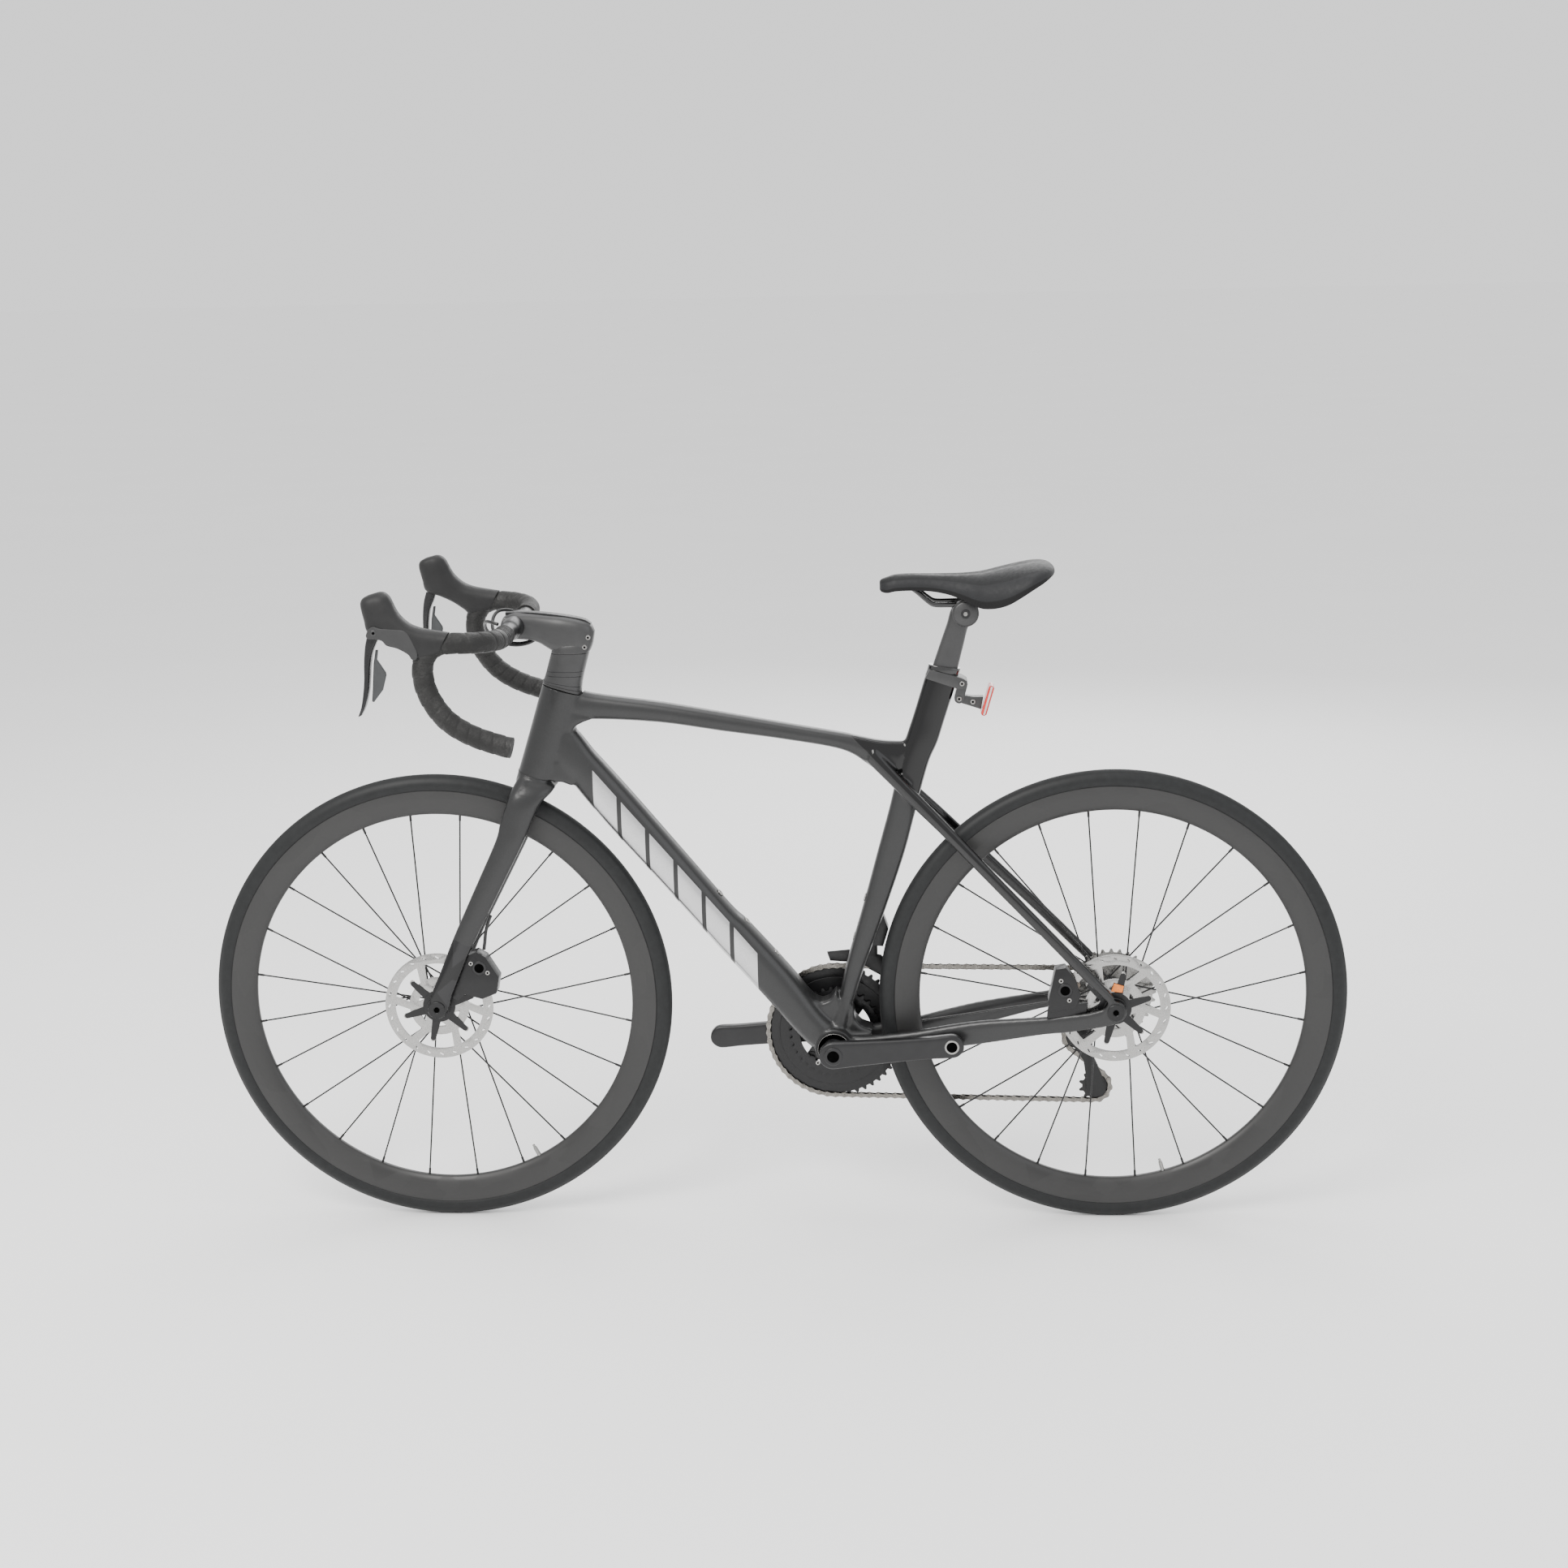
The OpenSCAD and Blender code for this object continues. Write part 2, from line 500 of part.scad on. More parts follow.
module rear_pad_left() at_rear() pad(rear_pad_at, -26, rear_rotor_y - rotor_t / 2 - pad_gap - pad_t);
module rear_pad_right() at_rear() pad(rear_pad_at, -26, rear_rotor_y + rotor_t / 2 + pad_gap);

// ---- Fork and cockpit ----

// Left blade, from inside the crown to the dropout
BLADE = [
    [183, 665, 133, 684, 13, -13], [176, 656, 124, 671, 13.5, -24], [160.2, 640.1, 115, 652, 13, -33],
    [144, 605, 102, 615, 11.5, -37.5], [128.3, 572.6, 94.3, 588.2, 10, -41.5],
    [90.8, 500.9, 60, 515, 8.7, -47], [56, 434.3, 28.2, 447.1, 7.6, -51.3], [38, 394, 9, 401, 6.4, -54.5],
    [24, 362, -8, 362, 5, -56], [16, 338, -13, 342, 4.6, -55.2], [8, 327, -5, 327, 4.2, -55]];
CROWN = [
    [steer(crown_s, 26), steer(crown_s, -25), 26.5], [steer(349, 27), steer(349, -25), 28],
    [steer(340, 26), steer(340, -25), 29.5], [steer(331, 23), steer(333, -22), 24]];
module fork() color(paint) from_front_axle() difference() {
    union() {
        skin([for (s = smooth([for (h = CROWN) concat(h[0], h[1], [h[2], 0])], 2)) tube_ring(s, 0.8, 16)]);
        both_sides() {
            tube(BLADE, 0.85, 12, 2);
            across(front_axle, -front_spacing / 2 - 9.5) cylinder(h = 9.5, r = 15);
        }
        along_steerer(0) rotate_extrude() polygon([[0, crown_s - 8], [steerer_low_r, crown_s - 8],
            [steerer_low_r, crown_s + 16], [steerer_r, crown_s + 75], [steerer_r, steerer_top_s], [0, steerer_top_s]]);
    }
    across(front_axle, -100) cylinder(h = 200, r = axle_r + run_gap);
}

SPACERS = [
    [223.3, 796.9, 167.4, 814, 21, 0], [223.5, 806, 168, 818, 21, 0], [226.5, 823, 171.3, 825, 21, 0],
    [236, 857.5, 181, 857.5, 20, 0]];
module headset_spacers() color([0.3, 0.3, 0.3]) from_front_axle() difference() {
    tube(SPACERS, 0.8, 24, 2);
    along_steerer(spacer_low_s - 20) cylinder(h = 100, r = steerer_r + run_gap);
}

bar_at = [131, 898];
STEM = [
    [112.5, 904, 112.5, 892, 18, 0], [117, 912, 117, 884, 20.5, 0], [131, 917, 131, 879, 21, 0],
    [150, 916.5, 150, 877, 19, 0], [166, 915, 166, 872, 18, 0], [184, 913, 185, 860.5, 18.5, 0],
    [206, 910.5, 202, 857.9, 19.5, 0], [226, 906, 222, 857.9, 18.5, 0], [238.5, 900, 235, 857.9, 15, 0],
    [244.5, 889, 241, 868, 9, 0]];
module stem() color("gray") from_front_axle() difference() {
    tube(STEM, 0.62, 24, 2);
    across(bar_at, -50) cylinder(h = 100, r = bar_radius);
    along_steerer(spacer_low_s) cylinder(h = steerer_top_s - spacer_low_s + 0.5, r = steerer_r + run_gap);
}

// Left half of the bar's centre line with its radius; it turns forward, then down and back
ramp_y = -bar_half_width;
grip_r = 12;
BAR = [
    [131, -20, 898, bar_radius], [131, -38, 898, bar_radius], [131, -50, 898, 14.6], [131, -62, 898, grip_r],
    [131, -95, 898.5, grip_r], [130.5, ramp_y + 72, 899, grip_r], [127, ramp_y + 46, 900.5, grip_r],
    [117, ramp_y + 24, 902, grip_r], [100, ramp_y + 8, 903.5, grip_r], [80, ramp_y + 2, 904.5, grip_r],
    [60, ramp_y, 903, grip_r], [45, ramp_y, 894, grip_r], [37, ramp_y, 879, grip_r],
    [35.5, ramp_y, 862, grip_r], [39, ramp_y - 1, 843, grip_r], [48, ramp_y - 2, 823, grip_r],
    [63, ramp_y - 4, 803, grip_r], [82, ramp_y - 5, 788, grip_r], [108, ramp_y - 6, 775, grip_r],
    [141.5, ramp_y - 7, 764, grip_r], [152, ramp_y - 7, 761.5, grip_r]];
tape_from = 4;
module handlebar() color("black") from_front_axle() {
    across(bar_at, -21) cylinder(h = 42, r = bar_radius);
    both_sides() skin(path_rings(BAR, [0, 0, 1], 12));
}
TAPE = [for (i = [tape_from:len(BAR) - 1]) BAR[i]];
module bar_tape() color([0.2, 0.2, 0.2]) from_front_axle() both_sides() {
    pipe(path_rings(TAPE, [0, 0, 1], 12, tape_radius - grip_r), path_rings(TAPE, [0, 0, 1], 12, 0.1));
}

// Lever hoods: a grip along the ramp that rises into a horn
HOOD = [
    [74, 919.8, 58, 889, 16, -200], [60, 922, 32, 883, 17, -200], [38, 926, 20, 892, 17.5, -200],
    [22, 932, 4, 903, 17.5, -200], [9, 943, -14, 912, 18, -199], [2, 954, -36, 921, 18, -198],
    [-2, 963, -41, 938, 17.5, -197], [-6, 970, -45, 957, 16, -196], [-12, 974.5, -43, 966, 12.5, -195],
    [-18, 975.5, -35, 971, 7, -195]];
lever_at = [-25.4, 922.4];
lever_y = -198;
knuckle_half = 7;
pin_r = 2.2;
module hood() {
    difference() {
        tube(HOOD, 0.75, 20, 2);
        side_plate(lever_y - knuckle_half - free_gap, lever_y + knuckle_half + free_gap)
            polygon([[-60, 900], [-14, 900], [-14, 926], [-19, 932.5], [-32, 932.5], [-60, 931]]);
    }
    across(lever_at, lever_y - 13) cylinder(h = 26, r = pin_r);
}
module hood_left() color([0.25, 0.25, 0.25]) from_front_axle() hood();
module hood_right() color([0.25, 0.25, 0.25]) from_front_axle() mirror([0, 1, 0]) hood();

// Brake lever blade, from its pivot down to the tip
LEVER = [
    [-21, 921, -37, 919, 6.2, lever_y], [-25, 908, -41, 905, 7, lever_y], [-31.5, 893, -43, 890, 8.5, lever_y],
    [-35, 875, -44, 874, 9, lever_y - 1], [-36.5, 858, -44.5, 857, 9, lever_y - 2],
    [-38.5, 840, -46.5, 838, 9, lever_y - 3.5], [-43.5, 821, -50, 819, 8.5, lever_y - 5],
    [-50, 808, -55, 806, 6, lever_y - 6]];
module lever() difference() {
    union() {
        tube(LEVER, 0.7, 12, 2);
        across(lever_at, lever_y - knuckle_half) cylinder(h = 2 * knuckle_half, r = 7);
        paddle_eye(paddle_pin[0], 12, 1.5);
    }
    across(lever_at, lever_y - 30) cylinder(h = 60, r = pin_r + run_gap);
}
module brake_lever_left() color([0.2, 0.2, 0.2]) from_front_axle() lever();
module brake_lever_right() color([0.2, 0.2, 0.2]) from_front_axle() mirror([0, 1, 0]) lever();
PADDLE = [[-27.5, 892], [-24, 892], [-26, 884], [-15, 864], [-20, 842], [-33.5, 825], [-36.5, 826],
          [-34.3, 842], [-32.5, 862], [-31, 878]];
module paddle() difference() {
    union() {
        side_plate(lever_y - 4, lever_y + 1) polygon(PADDLE);
        paddle_eye(-28.4, 5, 3.8);
    }
    paddle_eye(-40, 30, 1.5 + run_gap);
}
// Pin on the lever's back that carries the shift paddle
paddle_pin = [-34, lever_y - 1.5, 895.5];
module paddle_eye(x, h, r) translate([x, paddle_pin[1], paddle_pin[2]]) rotate([0, 90, 0]) cylinder(h = h, r = r);
module shift_paddle_left() color("gray") from_front_axle() paddle();
module shift_paddle_right() color("gray") from_front_axle() mirror([0, 1, 0]) paddle();

// Hydraulic hoses: a loop from each bar half to the stem, and the stretch into the front caliper
hose_r = 2.5;
BAR_HOSE = [[117, -64, 909], [108, -60, 911], [99, -50, 911], [94, -38, 906], [93, -26, 897], [96, -15, 888],
            [104, -9, 879], [118, -7, 872], [134, -6.5, 870], [150, -6.5, 873], [162, -6.5, 879]];
CALIPER_HOSE = [[83, -44, 478], [78, -41, 466], [74, -40, 452], [72, -39.5, 438], [70, -39.5, 426]];
module hose(route) skin(path_rings([for (p = smooth(route, 2)) concat(p, [hose_r])], [0, 1, 0], 8));
module hoses() color([0.08, 0.08, 0.08]) from_front_axle() {
    both_sides() hose(BAR_HOSE);
    hose(CALIPER_HOSE);
}

// ---- Drivetrain ----

function sprocket_r(teeth) = chain_pitch / (2 * sin(180 / teeth));
tooth_root = 3.6;
tooth_tip = 1.5;
tooth_t = 1.7;
function toothed(teeth) = let (r = sprocket_r(teeth)) [for (i = [0:teeth - 1], q = [0:3])
    let (a = 360 / teeth * (i + [-0.3, -0.1, 0.1, 0.3][q]), d = (q == 0 || q == 3) ? r - tooth_root : r + tooth_tip)
    d * [cos(a), sin(a)]];
module gear(teeth, y, t, hole_r) across([0, 0], y - t / 2) linear_extrude(t) difference() {
    polygon(toothed(teeth));
    circle(hole_r);
}
module at_bb() from_front_axle() translate([bb[0], 0, bb[1]]) children();

ring_step = 7;
bolt_circle_r = 55;
spider_arms = 4;
module chainrings() color([0.12, 0.12, 0.12]) at_bb() {
    gear(ring_teeth, chain_y, tooth_t, sprocket_r(ring_teeth) - 19);
    gear(small_ring_teeth, chain_y - ring_step, tooth_t, bolt_circle_r - 1);
    for (i = [0:spider_arms - 1]) rotate([0, -crank_angle - 45 - i * 90, 0]) {
        across([bolt_circle_r + 20, 0], chain_y - tooth_t / 2) cylinder(h = tooth_t, r = 12);
        across([bolt_circle_r + 1, 0], chain_y - tooth_t / 2) cylinder(h = tooth_t, r = 9);
        across([bolt_circle_r + 1, 0], chain_y - ring_step - 1.6) cylinder(h = ring_step + 2, r = 5);
    }
}
arm_in = 56;
arm_out = 70;
pedal_hole_r = 7.14;
module arm(turn, y0, y1) rotate([0, -turn, 0]) side_plate(y0, y1)
    bar_between([0, 0], [crank_length, 0], 20.5, 17.5);
module crank_right() color([0.12, 0.12, 0.12]) at_bb() difference() {
    union() {
        arm(crank_angle + 180, arm_in, arm_out + 2);
        across([0, 0], shell_half + 11.9) cylinder(h = 12, r = 26);
        for (i = [0:spider_arms - 1]) rotate([0, -crank_angle - 45 - i * 90, 0])
            side_plate(chain_y + tooth_t / 2, arm_in) bar_between([18, 0], [bolt_circle_r + 6, 0], 13, 9);
        across([0, 0], shell_half + 4.4) cylinder(h = 10, r = 15);
    }
    rotate([0, -crank_angle, 0]) across([-crank_length, 0], 40) cylinder(h = 50, r = pedal_hole_r);
}
module crank_spindle() color("silver") at_bb() across([0, 0], -arm_out + 3) cylinder(h = 2 * arm_out - 9, r = spindle_r);
module crank_left() color([0.12, 0.12, 0.12]) at_bb() difference() {
    union() {
        arm(crank_angle, -arm_out - 2, -arm_in);
        across([0, 0], -arm_in - 2) cylinder(h = arm_in - shell_half - 2.4, r = 17);
    }
    rotate([0, -crank_angle, 0]) across([crank_length, 0], -90) cylinder(h = 50, r = pedal_hole_r);
    across([0, 0], -80) cylinder(h = 60, r = spindle_r + run_gap);
}

COGS = [11, 12, 13, 14, 16, 18, 20, 22, 25, 28, 32];
cog_step = 3.9;
chain_cog = 3;
module cassette() color("silver") at_rear() {
    for (i = [0:len(COGS) - 1]) gear(COGS[i], chain_y + (chain_cog - i) * cog_step, tooth_t - 0.1, 16);
    difference() {
        across([0, 0], 20) cylinder(h = 47.5, r = 17);
        across([0, 0], 0) cylinder(h = 90, r = axle_r + run_gap);
    }
}

// The chain's loop runs round four toothed wheels: [centre x, centre z, radius, 1 over or -1 under]
guide_at = [941, 262];
tension_at = [965.5, 185];
LOOP = [
    [bb[0], bb[1], sprocket_r(ring_teeth), 1], [rear_axle[0], rear_axle[1], sprocket_r(COGS[chain_cog]), 1],
    [guide_at[0], guide_at[1], sprocket_r(pulley_teeth), -1],
    [tension_at[0], tension_at[1], sprocket_r(pulley_teeth), 1]];
// Direction of the straight run from one wheel to the next
function run_angle(a, b) = let (d = [b[0] - a[0], b[1] - a[1]])
    atan2(d[1], d[0]) - asin((a[3] * a[2] - b[3] * b[2]) / norm(d));
function beside(c, angle, grow) = [c[0], c[1]] + (c[3] * c[2] + grow) * [-sin(angle), cos(angle)];
loop_n = len(LOOP);
run_angles = [for (i = [0:loop_n - 1]) run_angle(LOOP[i], LOOP[(i + 1) % loop_n])];
// Points round each wheel from its incoming run to its outgoing one
function loop_points(grow) = [for (i = [0:loop_n - 1])
    let (c = LOOP[i], a0 = run_angles[(i + loop_n - 1) % loop_n], gap = run_angles[i] - a0,
         sweep = c[3] > 0 ? -((-gap % 360 + 360) % 360) : (gap % 360 + 360) % 360,
         steps = max(4, ceil(abs(sweep) / 8)))
    each [for (k = [0:steps]) beside(c, a0 + sweep * k / steps, grow)]];
plate_half = 4.1;
plate_in = 1.4;
plate_out = 2.8;
module chain_pins() for (i = [0:loop_n - 1]) {
    a = beside(LOOP[i], run_angles[i], 0);
    b = beside(LOOP[(i + 1) % loop_n], run_angles[i], 0);
    count = floor((norm(b - a) - 88) / chain_pitch);
    if (count > 0) for (k = [0:count]) let (p = a + (44 + k * chain_pitch) * (b - a) / norm(b - a))
        across(p, chain_y - plate_in - 0.2) cylinder(h = 2 * plate_in + 0.4, r = 3.3, $fn = 16);
}
module chain() color("silver") from_front_axle() {
    for (y = [-plate_out, plate_in]) side_plate(chain_y + y, chain_y + y + plate_out - plate_in) difference() {
        polygon(loop_points(plate_half));
        polygon(loop_points(-plate_half));
    }
    chain_pins();
}

// Front derailleur: a body on the seat tube and a cage that swings sideways over the rings
fd_pivot = [40, 436];
module fd_body() color([0.15, 0.15, 0.15]) from_front_axle() {
    side_plate(10, 34) polygon([[612, 418], [652, 414], [660, 440], [652, 462], [634, 462]]);
    for (x = [614, 644]) translate([x, fd_pivot[0], fd_pivot[1]]) rotate([0, 90, 0]) difference() {
        union() {
            cylinder(h = 7, r = 6);
            translate([-6, -10, 0]) cube([12, 10, 7]);
        }
        translate([0, 0, -1]) cylinder(h = 9, r = pin_r + run_gap);
    }
}
FD_CAGE = [[568, 391], [572, 379], [600, 377], [625, 368.5], [650, 354.5], [668, 350], [668, 366],
           [648, 386], [600, 394]];
module fd_cage() color("silver") from_front_axle() {
    side_plate(chain_y - 7.5, chain_y - 6) polygon([for (p = FD_CAGE) p + [0, 6]]);
    side_plate(chain_y + 5.6, chain_y + 7.1) polygon(FD_CAGE);
    side_plate(chain_y - 7.5, chain_y + 7.1) polygon([[651, 360], [667, 351.5], [667, 354.5], [652, 363.5]]);
    side_plate(chain_y - 7.5, chain_y + 7.1) polygon([[612, 391], [640, 387], [640, 390], [612, 394]]);
    side_plate(chain_y - 10.5, chain_y - 7.5) polygon([[622, 390], [643, 390], [643, 440], [622, 440]]);
    translate([613.5, fd_pivot[0], fd_pivot[1]]) rotate([0, 90, 0]) cylinder(h = 38, r = pin_r);
    translate([621.6, fd_pivot[0], fd_pivot[1]]) rotate([0, 90, 0]) cylinder(h = 21.8, r = 5);
}

// Rear derailleur. Its links lean link_turn outwards at rest, and swing about link_axis so that
// the cage moves inwards and down.
hanger_bolt_r = 4.9;
rd_y = 76;
link_turn = 10.6;
middle_dir = unit([-0.8, 0, -0.6]);
inward_dir = unit([0.2625, -1, -0.35]);
link_axis = cross(middle_dir, inward_dir);
link_dir = cos(link_turn) * middle_dir - sin(link_turn) * inward_dir;
shift_dir = cross(link_axis, link_dir);
link_length = 46;
link_half = 6;
link_space = 6.5;
rd_mid = [960, rd_y, 281];
function link_end(along, side) = rd_mid + (along - 0.5) * link_length * (-link_dir) + side * link_space * shift_dir;
// Draws a child along the links' pivot axis at a point
module on_link_axis(p) multmatrix([
    [link_dir[0], shift_dir[0], link_axis[0], p[0]], [link_dir[1], shift_dir[1], link_axis[1], p[1]],
    [link_dir[2], shift_dir[2], link_axis[2], p[2]]]) children();
module link(side) on_link_axis(link_end(1, side)) difference() {
    translate([0, 0, -link_half]) linear_extrude(2 * link_half) bar_between([0, 0], [link_length, 0], 4.2, 4.2);
    for (x = [0, link_length]) translate([x, 0, -link_half - 1]) cylinder(h = 2 * link_half + 2, r = pin_r + run_gap);
}
module rd_link_outer() color([0.1, 0.1, 0.1]) from_front_axle() link(-1);
module rd_link_inner() color([0.3, 0.3, 0.3]) from_front_axle() link(1);
// Ears above and below both links, with their two pins
module link_ears(along) {
    for (side = [-1, 1]) on_link_axis(link_end(along, side)) {
        translate([0, 0, -link_half - 3.4]) cylinder(h = 2 * link_half + 6.8, r = pin_r);
        for (z = [-link_half - 3.4, link_half + free_gap]) translate([0, 0, z]) cylinder(h = 3, r = 4.8);
    }
    on_link_axis(link_end(along, 0)) for (z = [-link_half - 3.4, link_half + free_gap])
        translate([-4.5, -link_space, z]) cube([9, 2 * link_space, 3]);
}
body_reach = 20;
knuckle_reach = 15;
module rd_body() color([0.1, 0.1, 0.1]) from_front_axle() {
    link_ears(1);
    on_link_axis(link_end(1, 0)) translate([-16.5, -body_reach, -link_half - 3.4])
        cube([12, link_space + body_reach, 2 * link_half + 6.8]);
    across(hanger, dropout_in + 5.4) cylinder(h = 12, r = 11);
    across(hanger, dropout_in - 1) cylinder(h = 8, r = hanger_bolt_r - 0.05);
    side_plate(dropout_in + 6, dropout_in + 16) polygon([[996, 321], [986, 312], [986, 301], [1000, 303]]);
}
module rd_knuckle() color([0.1, 0.1, 0.1]) from_front_axle() {
    link_ears(0);
    difference() {
        union() {
            on_link_axis(link_end(0, 0)) translate([4.6, -link_space, -link_half - 3.4])
                cube([8, 2 * link_space + knuckle_reach, 2 * link_half + 6.8]);
            across(guide_at, chain_y + 8.4) cylinder(h = 6, r = 9.5);
        }
        across(guide_at, chain_y) cylinder(h = 15, r = 4 + run_gap);
    }
}
CAGE_PLATE = [[930, 270], [934, 276], [946, 276], [953, 268], [961, 236], [975, 204], [982, 178], [976, 170],
              [960, 170], [953, 178], [952, 200], [948, 226], [931, 254]];
cage_in = 4.4;
pulley_pin_r = 2.5;
module rd_cage() color([0.1, 0.1, 0.1]) from_front_axle() {
    side_plate(chain_y - cage_in - 1.8, chain_y - cage_in) polygon(CAGE_PLATE);
    side_plate(chain_y + cage_in, chain_y + cage_in + 1.8) polygon(CAGE_PLATE);
    for (p = [guide_at, tension_at]) across(p, chain_y - cage_in - 1.8) cylinder(h = 2 * cage_in + 3.6, r = pulley_pin_r);
    across(guide_at, chain_y + cage_in) cylinder(h = 9.8, r = 4);
}
module pulley(p) color([0.15, 0.15, 0.15]) from_front_axle() translate([p[0], 0, p[1]]) {
    gear(pulley_teeth, chain_y, 2, pulley_pin_r + run_gap);
    difference() {
        across([0, 0], chain_y - 3.9) cylinder(h = 7.8, r = 6);
        across([0, 0], chain_y - 5) cylinder(h = 10, r = pulley_pin_r + run_gap);
    }
}
module guide_pulley() pulley(guide_at);
module tension_pulley() pulley(tension_at);

head_tube();
top_tube();
down_tube();
seat_tube();
bb_shell();
seatstays();
chainstays();
frame_bearings();
bottle_bosses();
seatpost();
saddle_clamp();
saddle_rails();
saddle_shell();
saddle_pad();
light_bracket();
rear_light();
rear_caliper();
rear_pad_left();
rear_pad_right();
rear_thru_axle();
fork();
headset_spacers();
stem();
handlebar();
bar_tape();
hood_left();
hood_right();
brake_lever_left();
brake_lever_right();
shift_paddle_left();
shift_paddle_right();
hoses();
front_caliper();
front_pad_left();
front_pad_right();
front_thru_axle();
front_tyre();
front_rim();
front_spokes();
front_hub();
front_rotor();
rear_tyre();
rear_rim();
rear_spokes();
rear_hub();
rear_rotor();
crank_right();
crank_spindle();
crank_left();
chainrings();
cassette();
chain();
fd_body();
fd_cage();
rd_body();
rd_link_outer();
rd_link_inner();
rd_knuckle();
rd_cage();
guide_pulley();
tension_pulley();
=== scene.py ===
"""Looks for a road bicycle: painted frame, wheels, drop bar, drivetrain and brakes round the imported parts.

Sizes are millimetres in the side view, [distance behind the front axle, place across, height], until
at() turns them into metres in the model's own frame.
"""

